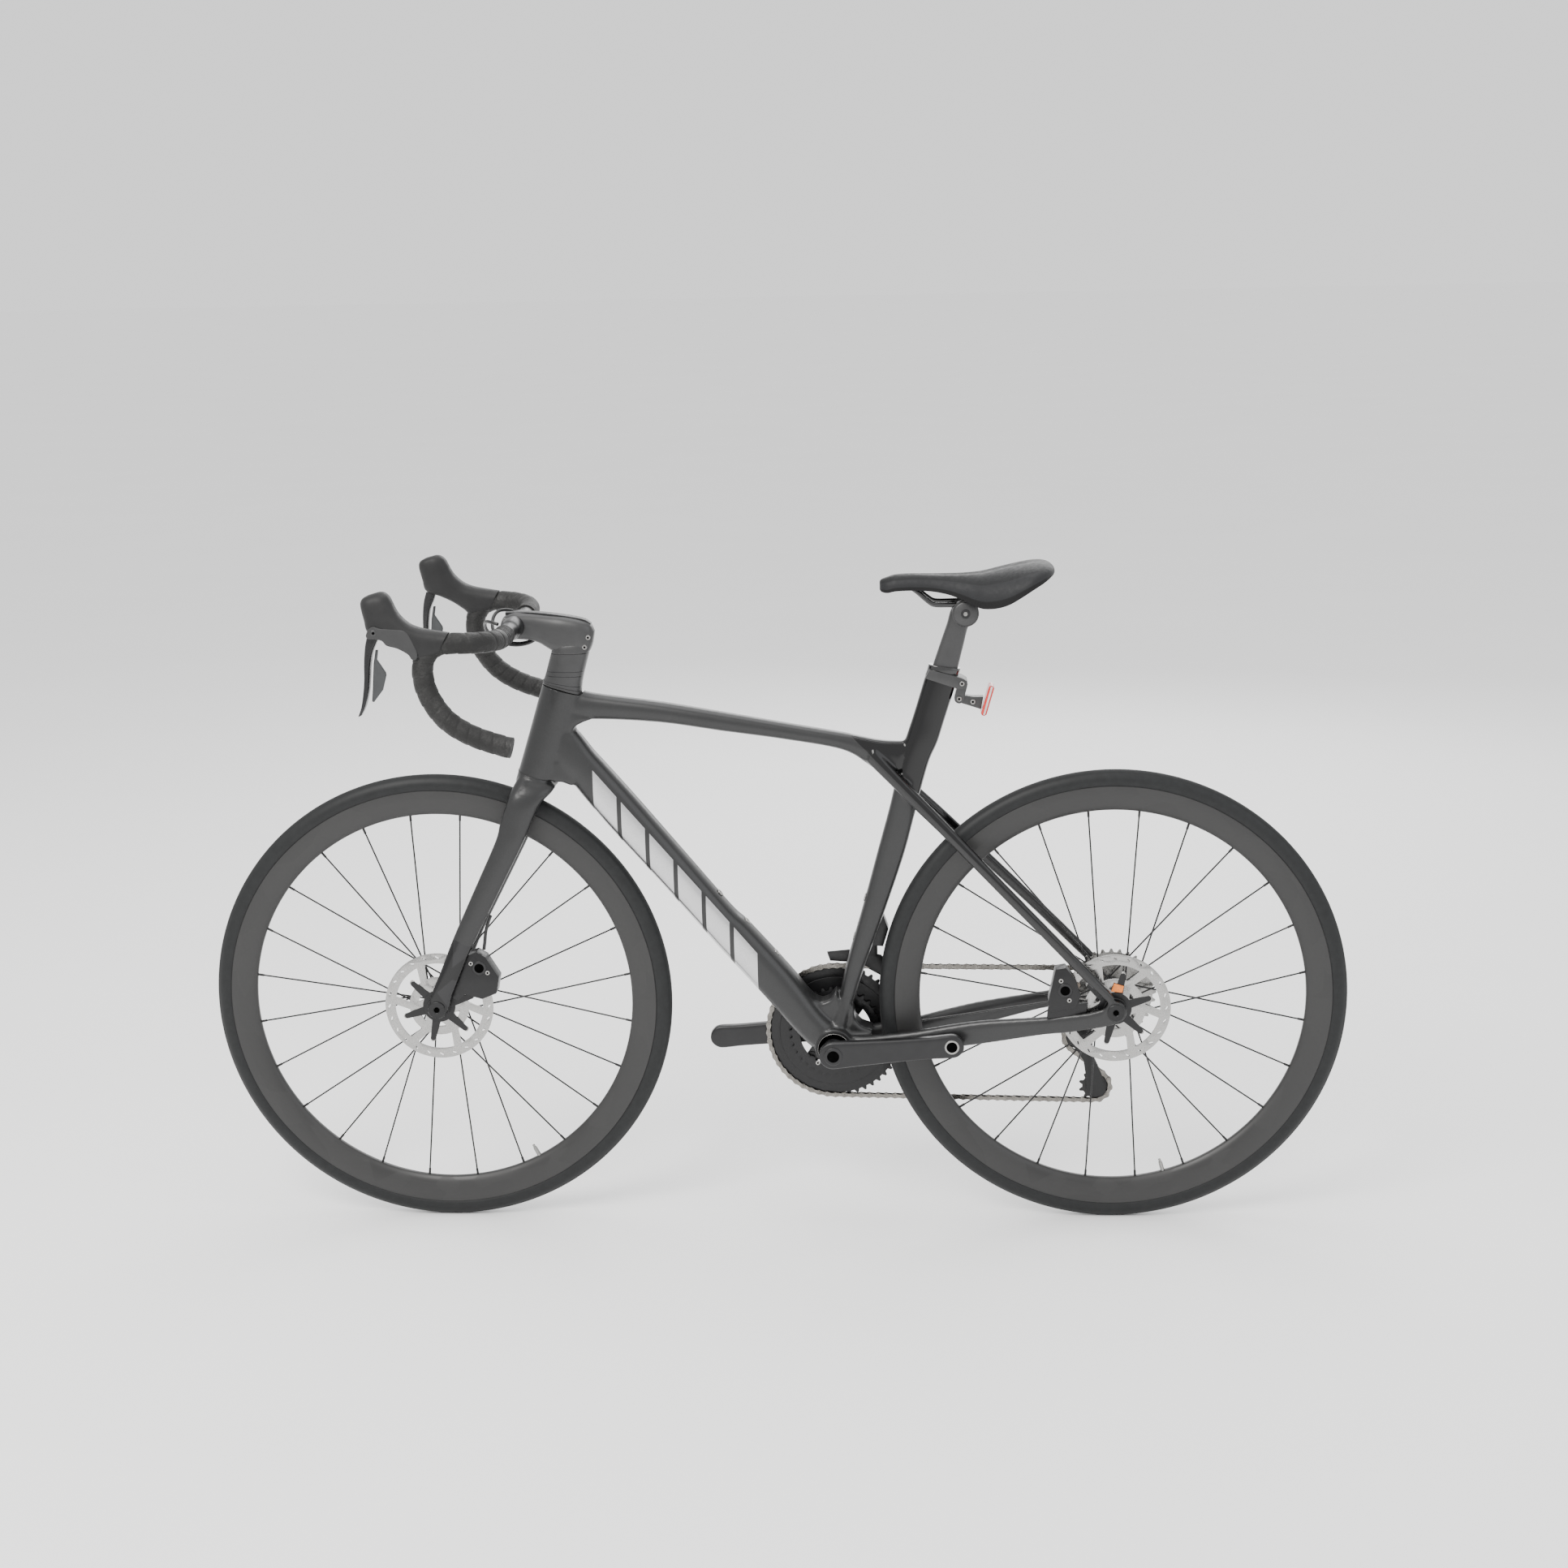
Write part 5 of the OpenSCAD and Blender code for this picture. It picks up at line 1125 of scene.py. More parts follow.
RAMP_Y = -200
BAR = [
    [131, 0, 898, 15.9], [131, -20, 898, 15.9], [131, -38, 898, 15.9], [131, -50, 898, 14.6],
    [131, -62, 898, 12],
    [131, -95, 898.5, 12], [130.5, RAMP_Y + 72, 899, 12], [127, RAMP_Y + 46, 900.5, 12],
    [117, RAMP_Y + 24, 902, 12], [100, RAMP_Y + 8, 903.5, 12], [80, RAMP_Y + 2, 904.5, 12],
    [60, RAMP_Y, 903, 12], [45, RAMP_Y, 894, 12], [37, RAMP_Y, 879, 12], [35.5, RAMP_Y, 862, 12],
    [39, RAMP_Y - 1, 843, 12], [48, RAMP_Y - 2, 823, 12], [63, RAMP_Y - 4, 803, 12],
    [82, RAMP_Y - 5, 788, 12],
    [108, RAMP_Y - 6, 775, 12], [141.5, RAMP_Y - 7, 764, 12], [152, RAMP_Y - 7, 761.5, 12]]
TAPE_START = 5
TAPE_R = 15.2


class BICYCLE_OT_bar(bpy.types.Operator):
    """Carry the bar along its bends, wrap it in overlapping tape and close its ends with plugs"""
    bl_idname = "bicycle.bar"
    bl_label = "Handlebar and Tape"

    def execute(self, context):
        line = curve_rows(BAR, 6)
        bare = [shell(sweep(line[:, :3], line[:, 3], 32))]
        piece("bar_tube", bare + [mirrored(bare[0])], "steering", [finish("satin_black")], "black_alloy",
              ("handlebar",))
        path = curve_rows([r[:3] for r in BAR[TAPE_START:]], 40)
        n = 40
        run = np.concatenate([[0], np.cumsum(np.linalg.norm(np.diff(path, axis=0), axis=1))])
        # Each turn climbs over the one before: the radius is a saw-tooth of length along less angle round
        step = user().wrap * 1000
        pitch = np.where(run < 42, 7.0, step)
        turns = np.concatenate([[0], np.cumsum(np.diff(run) / pitch[1:])])
        phase = (turns[:, None] - np.arange(n)[None] / n) % 1
        height = 1.1 * (1 - np.abs(2 * phase - 1) ** 8) * (0.4 + 0.6 * phase) - 1.1
        end_lift = 0.2 * np.clip((run[-1] - run) / 6, 0, 1)[:, None] - 0.2
        radius = TAPE_R - 0.25 + height + end_lift
        tape = shell(sweep(path, radius, n))
        piece("tape_wrap", both(tape), "steering", [finish("tape")], "tape", ("bar_tape",), 50)
        end = path[-1]
        out = (path[-1] - path[-3]) / np.linalg.norm(path[-1] - path[-3])
        dome = np.array([[0.0, 14.0], [0.8, 14.6], [2.0, 14.6], [2.8, 13.4], [3.1, 9.0], [3.2, 0.1]])
        line = end + out * dome[:, :1]
        u, v = carried_frames(np.linspace(end, end + out, len(dome)), (0, 0, 1))
        a = 2 * np.pi * np.arange(48) / 48
        plug = line[:, None] + dome[:, 1][:, None, None] * (
            np.cos(a)[None, :, None] * u[:, None] + np.sin(a)[None, :, None] * v[:, None])
        piece("bar_plugs", both(shell(plug)), "steering", [finish("matte_black")], "tape")
        return {"FINISHED"}


HOOD = [
    [74, 919.8, 58, 889, 16, -200], [60, 922, 32, 883, 17, -200], [38, 926, 20, 892, 17.5, -200],
    [22, 932, 4, 903, 17.5, -200], [9, 943, -14, 912, 18, -199], [2, 954, -36, 921, 18, -198],
    [-2, 963, -41, 938, 17.5, -197], [-6, 970, -45, 957, 16, -196], [-12, 974.5, -43, 966, 12.5, -195],
    [-18, 975.5, -35, 971, 7, -195]]
SIDE_PLATE = [
    [-36, 919], [-33, 926], [-26, 931], [-14, 928], [10, 926.5], [20, 922], [26, 913], [30, 903], [33, 893],
    [31, 886], [25, 886], [20, 893], [6, 901], [-8, 905], [-15, 912], [-26, 914], [-34, 915]]
LEVER_PIVOT = (-25.4, 922.4)
LEVER = [
    [-21, 921, -37, 919, 6.2, -198], [-25, 908, -41, 905, 7, -198], [-31.5, 893, -43, 890, 8.5, -198],
    [-35, 875, -44, 874, 9, -199], [-36.5, 858, -44.5, 857, 9, -200], [-38.5, 840, -46.5, 838, 9, -201.5],
    [-43.5, 821, -50, 819, 8.5, -203], [-50, 808, -55, 806, 6, -204]]
PADDLE = [
    [-27.5, 897], [-24, 897], [-26, 884], [-15, 866], [-14.5, 862], [-20, 842], [-33.5, 825], [-36, 826],
    [-34.3, 842], [-32.5, 862], [-31, 878]]


def one_side(name, side, parts, body, finishes, slot, replaces=(), angle=38):
    """A piece of the left or, mirrored, of the right hood and lever."""
    shown = parts if side == "left" else [mirrored(p) for p in parts]
    for p, q in zip(shown, parts):
        if side == "right" and "n" in q:
            p["n"] = [f[::-1] for f in q["n"]]
    return piece(f"{name}_{side}", shown,
                 f"{body}_{side}" if body in ("brake_lever", "shift_paddle") else body,
                 finishes, slot, replaces, angle)


class BICYCLE_OT_hoods(bpy.types.Operator):
    """Shape both rubber hoods with their side plates and pivot screws"""
    bl_idname = "bicycle.hoods"
    bl_label = "Lever Hoods"

    def execute(self, context):
        for side in ("left", "right"):
            one_side("hood_grip", side, [shell(loft(HOOD, 0.75, 64, 12))], "steering",
                     [finish("hood_rubber")],
                     "hood_rubber", (f"hood_{side}",), 60)
            curve = np.array(curve_rows(SIDE_PLATE + SIDE_PLATE[:1], 4))[:-1]
            parts = [plate(curve, -217.6, -214.5, 0.8), *bolt(LEVER_PIVOT, -217.4, 4.2, 0.7, -1, 1, 2)]
            one_side("hood_plate", side, parts, "steering",
                     [finish("plate_rubber"), finish("satin_grey"), finish("dark_hole")], "hood_rubber")
        return {"FINISHED"}


class BICYCLE_OT_levers(bpy.types.Operator):
    """Shape both brake levers with a bright steel line along the front edge, and both shift paddles behind them"""
    bl_idname = "bicycle.levers"
    bl_label = "Levers and Paddles"

    def execute(self, context):
        blade = shell(loft(LEVER, 0.6, 48, 10))
        rows = curve_rows(LEVER, 10)
        # A bright steel line along the blade's front edge
        front = np.stack([rows[:, 2] + 0.3, rows[:, 5], rows[:, 3]], 1)[8:-1]
        edge = shell(sweep(front, 0.95, 10, (0, 1, 0), 0.5), m=1)
        knuckle = disc(LEVER_PIVOT, -204.8, -191.2, 7, 0.8, m=0)
        for side in ("left", "right"):
            one_side("brake_blade", side, [blade, edge, knuckle], "brake_lever",
                     [finish("lever_carbon"), finish("steel")], "lever", (f"brake_lever_{side}",), 40)
            one_side("shift_blade", side, [plate(PADDLE, -202, -197.4, 1.1)], "shift_paddle",
                     [finish("paddle_grey")], "lever", (f"shift_paddle_{side}",), 40)
        return {"FINISHED"}


BAR_HOSE = [
    [117, -64, 909], [108, -60, 911], [99, -50, 911], [94, -38, 906], [93, -26, 897], [96, -15, 888],
    [104, -9, 879], [118, -7, 872], [134, -6.5, 870], [150, -6.5, 873], [162, -6.5, 879]]
CALIPER_HOSE = [[83, -44, 478], [78, -41, 466], [74, -40, 452], [72, -39.5, 438], [70, -39.5, 426]]
HOSE_D = 0.005


class BICYCLE_OT_hoses(bpy.types.Operator):
    """Lay the brake hoses: a loop from either side of the bar to the stem, and the front caliper's stub"""
    bl_idname = "bicycle.hoses"
    bl_label = "Brake Hoses"

    def execute(self, context):
        black = finish("hose_black")
        for name, route, side in (("bar_hose_left", BAR_HOSE, 1), ("bar_hose_right", BAR_HOSE, -1),
                                  ("caliper_hose", CALIPER_HOSE, 1)):
            line = curve_rows(route, 6) * (1, side, 1)
            part = shell(sweep(line, 2.5, 20, (0, 1, 0)))
            obj = piece(name, [part], "steering", [black], "hose", ("hoses",))
            path = at(line)
            length = float(np.linalg.norm(np.diff(path, axis=0), axis=1).sum())
            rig.cord(obj, exit=path[0], length=length, diameter=HOSE_D, far_end="object", stiffness="stiff",
                    lay="loose", path=path)
        return {"FINISHED"}


# ---- Saddle and seatpost ----

SEATPOST = [
    [758, 812, 722, 817, 10.5, 0], [763, 830, 728, 836, 10.5, 0], [771, 862, 738.5, 867, 10.5, 0],
    [779, 891, 747.5, 893, 11, 0], [793, 906, 754, 914, 12, 0], [785, 918, 764, 919, 10, 0]]
SADDLE_CLAMP = (773.6, 911.3)
RAIL = [
    [688, -7, 951], [696, -11, 947.5], [706, -15, 941], [718, -19, 931], [727, -21.5, 924.6], [736, -22, 923],
    [752, -22, 923], [774, -22, 923], [796, -22, 923], [812, -23, 924.5], [830, -27, 932], [846, -32, 944],
    [856, -35, 953]]
RAIL_R = 3.5
SADDLE = [
    [653, 5, 955, 943.5], [656, 11, 958, 941], [664, 17, 961, 940], [676, 19.5, 964.2, 942.5],
    [700, 21, 965.6, 943.5], [726, 24, 965.6, 942.5], [750, 30, 965.3, 938.5], [769, 37, 965.3, 932],
    [786, 47, 966, 924.5], [800, 56, 967.5, 921.5], [818, 64, 971.5, 923.5], [834, 69, 975, 929],
    [850, 72, 978, 938.5], [866, 72.5, 980.4, 949], [880, 66, 980.8, 957], [890, 54, 978.5, 963],
    [896, 38, 974.5, 966.5], [898.5, 20, 971.5, 968]]
SADDLE_CURVE = 0.8
SADDLE_SIDE = 0.72
FOAM = 7.0


def saddle_rings(rows, out, wall, n=40):
    """Rings of a shell that follows the saddle's top at a distance out inside it. The outer arc runs from the
    right side over the crown to the left, and the inner arc comes back below it, one wall away."""
    rows = np.asarray(rows)
    a = np.pi * np.arange(n + 1) / n
    x, half, crown, low = rows.T[:, :, None]
    w0, h0 = half - out, np.maximum(crown - out - low, 1.2)
    w1, h1 = np.maximum(w0 - wall, 1.0), np.maximum(h0 - wall, 0.5)
    outer = np.stack([x + 0 * a, w0 * power(np.cos(a), SADDLE_CURVE),
                      low + h0 * power(np.sin(a), SADDLE_SIDE)], -1)
    b = a[::-1]
    inner = np.stack([x + 0 * a, w1 * power(np.cos(b), SADDLE_CURVE),
                      low + h1 * power(np.sin(b), SADDLE_SIDE)], -1)
    return np.concatenate([outer, inner], 1)


class BICYCLE_OT_saddle(bpy.types.Operator):
    """Shape the saddle's padded cover, the shell under it and its rails"""
    bl_idname = "bicycle.saddle"
    bl_label = "Saddle"

    def execute(self, context):
        rows = curve_rows(SADDLE, 6)
        n = 48
        grid = saddle_rings(rows, 0, FOAM, n)
        # A shallow groove along the middle of the top, deepest over the rear half
        x = rows[:, 0]
        depth = 2.6 * np.clip((x - 690) / 50, 0, 1) * np.clip((885 - x) / 30, 0, 1)
        groove = depth[:, None] * np.exp(-(grid[:, :n + 1, 1] / 9.0)**2)
        grid[:, :n + 1, 2] -= groove
        share = np.concatenate([np.linspace(0, 1, n + 1), np.linspace(1, 0, n + 1), [0]])
        along = np.append(rows[:, 0] / 1000, rows[-1, 0] / 1000)
        cover = piece("saddle_cover", [shell(grid, uv=(share, along))], "frame", [finish("saddle_cover")],
                      "saddle_cover", ("saddle_pad",), 50)
        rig.padded(cover, fill=1)
        under = saddle_rings(curve_rows(SADDLE[3:-3], 5), FOAM + 0.3, 2.5, n)
        piece("saddle_base", [shell(under)], "frame", [finish("matte_black")], "saddle_shell",
              ("saddle_shell",), 40)
        rail = shell(sweep(curve_rows(RAIL, 6), RAIL_R, 24, (0, 1, 0)))
        piece("saddle_rail_pair", both(rail), "frame", [finish("gloss_black")], "gloss_black",
              ("saddle_rails",))
        return {"FINISHED"}


class BICYCLE_OT_seatpost(bpy.types.Operator):
    """Shape the seatpost and the round clamp at its head, with the bolt through it"""
    bl_idname = "bicycle.seatpost"
    bl_label = "Seatpost and Clamp"

    def execute(self, context):
        post = loft(SEATPOST, 0.8, 56, 8)
        piece("seatpost_shaft", [shell(post)], "frame", [finish("satin_grey")], "post_grey",
              ("seatpost",), 50)
        parts = []
        for side in (-1, 1):
            low, high = sorted((side * 16.2, side * 29))
            parts.append(disc(SADDLE_CLAMP, low, high, 19, 1.4, 72))
            low, high = sorted((side * 29, side * 31.4))
            parts.append(disc(SADDLE_CLAMP, low, high, 16.4, 1.2, 64))
            parts += bolt(SADDLE_CLAMP, side * 31.3, 6.4, 1.6, side, 2, 1)
        parts.append(disc(SADDLE_CLAMP, -17, 17, 9, 0.4, 40))
        piece("rail_clamp", parts, "frame", [finish("satin_grey"), finish("steel"), finish("arm_black")],
              "clamp",
              ("saddle_clamp",))
        return {"FINISHED"}


LAMP = [[807.5, 806.5], [815, 804], [802.5, 761.5], [794.5, 763.5]]


class BICYCLE_OT_rear_lamp(bpy.types.Operator):
    """Shape the strap round the post, its tilting link and the rear lamp with its red lens"""
    bl_idname = "bicycle.rear_lamp"
    bl_label = "Rear Lamp"

    def execute(self, context):
        strap = softened("light_bracket", 0.0008)
        piece("lamp_strap", strap, "frame", [finish("satin_grey")], "post_grey", ("light_bracket",), 35)
        screws = (bolt((768.5, 809.5), -17.6, 3.6, 1.6, -1) + bolt((764.5, 786), -9.1, 3.8, 1.6, -1)
                  + bolt((784, 781.5), -8.1, 3.8, 1.6, -1))
        piece("lamp_screws", screws, "frame", [finish("steel"), finish("dark_hole")], "post_grey")
        lens = eased(LAMP, 2.4, True)
        # The pale strip down the middle of the lamp, a little proud of its sides, is a painted highlight
        mid = [[809.7, 804.6], [812.3, 803.9], [800.9, 763.4], [798.3, 764.0]]
        piece("lamp_body", [plate(lens, -16, 16, 1.6), plate(mid, -16.3, 16.3, 0.3, 1)], "frame",
              [finish("red_lens"), finish("clear_smoke")], "red_lens", ("rear_light",), 40)
        return {"FINISHED"}


# ---- Wheels ----

TYRE_TUBE = 14.5
TYRE_CENTRE = 325.5
RIM_OUT = 317.5
RIM_IN = 280.5
RIM_HALF = [[0, 1.6], [1, 4], [6, 7.5], [14, 10.2], [24, 12.1], [31, 12.6], [37, 12.6]]
FLANGES = {"front": (-25, 33, 19), "rear": (-38, 15, 21)}
HUBS = {
    "front": [[-49.6, 9.5], [-45.5, 9.5], [-45.5, 17], [-31, 17], [-24, 16], [-18, 12.5], [24, 12.5],
              [32, 15],
              [41, 14], [41, 9.5], [49.6, 9.5]],
    "rear": [[-70.6, 10], [-64, 10], [-64, 17], [-46, 17], [-38, 17], [-30, 14], [6, 14], [14, 17], [19, 17]]}
HUB_BORE = 6.1
SPOKE_R = 1.2
VALVE_ANGLE = {"front": -62, "rear": -74}


def ring_outline(profile):
    """A closed wheel section from half of one, [radius, half width] up one side and down the other."""
    p = np.asarray(profile, float)
    return np.vstack([np.stack([p[:, 1], p[:, 0]], 1), np.stack([-p[::-1, 1], p[::-1, 0]], 1)])


def wheel_parts(centre):
    """Tyre and rim of one wheel, in the wheel's own place."""
    # Tyre: a round section flattened where it sits in the rim, u = 0.5 at the crown
    n = 56
    t = np.radians(np.linspace(-138, 138, n))
    y = TYRE_TUBE * 0.955 * np.sin(t) * (1 - 0.03 * np.cos(t))
    r = TYRE_CENTRE + TYRE_TUBE * np.cos(t)
    outline = np.vstack([np.stack([y, r], 1), [[-11.2, RIM_OUT - 2.2], [11.2, RIM_OUT - 2.2]]])
    share = np.concatenate([np.linspace(0, 1, n), [1, 1, 1]])[:len(outline) + 1]
    share[n:] = (1, 0, 0)
    grid = lathe(outline, centre, 320)
    round_length = 2 * np.pi * TYRE_CENTRE / 1000
    tyre = shell(np.swapaxes(grid, 0, 1), path=True, uv=(share, np.linspace(0, round_length, 321)))
    half = [[RIM_IN + a, w] for a, w in RIM_HALF]
    smooth = curve_rows(half[:-1], 5).tolist() + [[RIM_OUT - 0.6, 12.6], [RIM_OUT, 12.0]]
    lip = [[RIM_OUT, 10.4], [RIM_OUT - 2.4, 10.2]]
    outline = ring_outline([[r0, w] for r0, w in smooth] + lip)
    grid = lathe(outline, centre, 320)
    rim = shell(np.swapaxes(grid, 0, 1), path=True)
    return tyre, rim


def spoke_parts(which, centre, count):
    """Round spokes from the rim to either flange, led sideways so that pairs cross, with nipples."""
    left, right, hole_r = FLANGES[which]
    i = np.arange(count)
    rim_angle = np.radians(360 / count * (i + 0.5) - 90)
    lead = np.where((i // 2) % 2 == 0, 1, -1)
    hub_angle = rim_angle + lead * np.radians(60)
    y = np.where(i % 2 == 0, left, right).astype(float)
    cx, cz = centre
    hub = np.stack([cx + hole_r * np.cos(hub_angle), y, cz + hole_r * np.sin(hub_angle)], 1)
    r = RIM_IN + 1.0
    rim = np.stack([cx + r * np.cos(rim_angle), y * 0.0, cz + r * np.sin(rim_angle)], 1)
    parts = []
    for a, b in zip(hub, rim):
        line = np.linspace(a, b, 3)
        parts.append(shell(sweep(line, SPOKE_R, 10, (0, 1, 0))))
        along = (b - a) / np.linalg.norm(b - a)
        tip = np.stack([b - along * 9.5, b - along * 9.3, b - along * 1, b + along * 1.5])
        parts.append(shell(sweep(tip, np.array([1.2, 1.75, 1.75, 1.75]), 10, (0, 1, 0)), m=1))
    return parts


def hub_parts(which, centre):
    """Turned hub body with its flanges and bore."""
    profile = np.array(HUBS[which], float)
    outline = np.vstack([profile, [[profile[-1, 0], HUB_BORE], [profile[0, 0], HUB_BORE]]])
    parts = [shell(lathe(eased(outline, 0.8, True), centre, 72), path=True)]
    left, right, hole_r = FLANGES[which]
    for y in (left, right):
        parts.append(disc(centre, y - 1.8, y + 1.8, hole_r + 3.4, 0.7, 72, hole=HUB_BORE + 4))
    return parts


class BICYCLE_OT_wheels(bpy.types.Operator):
    """Build both wheels: tyre, deep rim with its valve, laced spokes and turned hub"""
    bl_idname = "bicycle.wheels"
    bl_label = "Wheels"

    def execute(self, context):
        for which, centre in (("front", FRONT_AXLE), ("rear", REAR_AXLE)):
            body = f"{which}_wheel"
            tyre, rim = wheel_parts(centre)
            piece(f"{which}_tyre_ring", [tyre], body, [finish("tyre_rubber")], "tyre", (f"{which}_tyre",), 60)
            piece(f"{which}_rim_ring", [rim], body, [finish("rim_carbon")], "rim", (f"{which}_rim",), 40)
            spokes = spoke_parts(which, centre, user().spokes)
            piece(f"{which}_spoke_set", spokes, body, [finish("spoke_black"), finish("satin_black")], "spoke",
                  (f"{which}_spokes",))
            piece(f"{which}_hub_body", hub_parts(which, centre), body, [finish("satin_black")], "black_alloy",
                  (f"{which}_hub",))
            turn = math.radians(VALVE_ANGLE[which])
            out = np.array([math.cos(turn), 0, math.sin(turn)])
            foot = np.array([centre[0], 0, centre[1]])
            stem = foot + out * np.array([262, 262.4, 266, 266.4, 270, 282])[:, None]
            valve = shell(sweep(stem, np.array([1.2, 1.9, 1.9, 2.6, 3.0, 3.0]), 16, (0, 1, 0)))
            piece(f"{which}_valve", [valve], body, [finish("steel")], "rotor")
        return {"FINISHED"}


class BICYCLE_OT_axles(bpy.types.Operator):
    """Turn both thru-axles, with a socket head on the right end"""
    bl_idname = "bicycle.axles"
    bl_label = "Thru-Axles"

    def execute(self, context):
        for which, centre, half, body in (("front", FRONT_AXLE, 59.8, "steering"),
                                          ("rear", REAR_AXLE, 78.3, "frame")):
            head_y = -half
            parts = [disc(centre, -half, half, 6, 0.4, 40),
                     disc(centre, -half - 2.4, -half, 12.6, 0.9, 56, hole=4.2),
                     disc(centre, half, half + 1.6, 9, 0.6, 48)]
            # The dark hexagon in the head is painted shade in its socket
            turn = np.arange(6) * math.pi / 3
            hexagon = np.array(centre) + 4.2 * np.stack([np.cos(turn), np.sin(turn)], 1)
            parts.append(plate(hexagon, head_y - 0.6, head_y - 0.2, 0.02, 1))
            piece(f"{which}_axle_shaft", parts, body, [finish("satin_black"), finish("dark_hole")],
                  "black_alloy",
                  (f"{which}_thru_axle",))
        return {"FINISHED"}


# ---- Brakes ----

FRONT_ROTOR_Y = -39.5
REAR_ROTOR_Y = -55.7


def finished(node, body, finish_name, slot, width=0.0006, angle=35):
    """A merged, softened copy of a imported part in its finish."""
    return piece(node + "_part", softened(node, width), body, [finish(finish_name)], slot, (node,), angle)


class BICYCLE_OT_brakes(bpy.types.Operator):
    """Finish the calipers with their bolts, the pads, and the rotors with their dark carriers and rivets"""
    bl_idname = "bicycle.brakes"
    bl_label = "Brakes"

    def execute(self, context):
        finished("front_caliper", "steering", "satin_black", "black_alloy", 0.0012)
        finished("rear_caliper", "frame", "satin_black", "black_alloy", 0.0012)
        for wheel, body in (("front", "steering"), ("rear", "frame")):
            for side in ("left", "right"):
                node = f"{wheel}_pad_{side}"
                finished(node, node, "pad_metal", "pad", 0.0003)
        spots = {"front": ((52, 408), (76, 394)),
                 "rear": ((REAR_AXLE[0] - 78, 385), (REAR_AXLE[0] - 66, 356))}
        faces = {"front": FRONT_ROTOR_Y - 12, "rear": REAR_ROTOR_Y - 13.5}
        for wheel, body in (("front", "steering"), ("rear", "frame")):
            screws = []
            for centre in spots[wheel]:
                screws += bolt(centre, faces[wheel] + 0.1, 3.4, 1.4, -1)
            middle = np.mean(spots[wheel], 0)
            # The dark disc in the middle of the fitting is painted shade in its hole
            screws += [disc(middle, faces[wheel] - 1.4, faces[wheel] + 0.5, 10.5, 0.7, 48, 2),
                       disc(middle, faces[wheel] - 1.7, faces[wheel], 7, 0.3, 40, 1)]
            piece(f"{wheel}_caliper_screws", screws, body,
                  [finish("steel"), finish("dark_hole"), finish("arm_black")], "steel")
        for wheel, centre, y in (("front", FRONT_AXLE, FRONT_ROTOR_Y), ("rear", REAR_AXLE, REAR_ROTOR_Y)):
            piece(f"{wheel}_rotor_disc", softened(f"{wheel}_rotor", 0.0002), f"{wheel}_wheel",
                  [finish("rotor_steel")], "rotor", (f"{wheel}_rotor",), 30)
            turns = np.arange(6) * math.pi / 3 + 0.3
            carrier = [disc(centre, y - 2.6, y - 1.0, 24, 0.4, 72, m=1, hole=12)]
            rivets = []
            for a in turns:
                tip = np.array([math.cos(a), math.sin(a)])
                rivets.append(disc(centre + 52 * tip, y - 2.0, y + 2.0, 3.6, 0.4, 20))
                leg = bar_outline(centre + 20 * tip, centre + 50 * tip, 6.5, 4)
                carrier.append(plate(leg, y - 2.2, y - 1.1, 0.3, 1))
            piece(f"{wheel}_rotor_rivets", rivets + carrier, f"{wheel}_wheel",
                  [finish("steel"), finish("satin_black")], "rotor")
        return {"FINISHED"}


# ---- Drivetrain ----

CRANK_LENGTH = 172.5
CRANK_RISE = math.radians(4.6)
ARM_IN = 56
ARM_OUT = 72


def crank_arm(side):
    """A forged arm from the crank axis to the pedal's axis, full at its middle and rounder at its ends."""
    turn = CRANK_RISE if side < 0 else CRANK_RISE + math.pi
    along = np.array([math.cos(turn), math.sin(turn)])
    up = np.array([-along[1], along[0]])
    spots = [(-20.3, 3), (-19, 8.4), (-15, 14.2), (-8, 18.8), (0, 20.4), (14, 19.8), (40, 18.6), (90, 17.0),
             (140, 16.4), (160, 17.0), (172.5, 17.4), (180, 15.8), (186, 11.2), (189, 6.5), (189.9, 2.4)]
    rows = []
    for s, h in spots:
        a, b = np.array(CRANK_AXLE) + along * s + up * h, np.array(CRANK_AXLE) + along * s - up * h
        depth = 7.8 if 0 < s < 165 else 7.4
        rows.append([*a, *b, depth, side * (ARM_IN + ARM_OUT) / 2])
    return loft(rows, 0.42, 56, 6), np.array(CRANK_AXLE) + along * CRANK_LENGTH


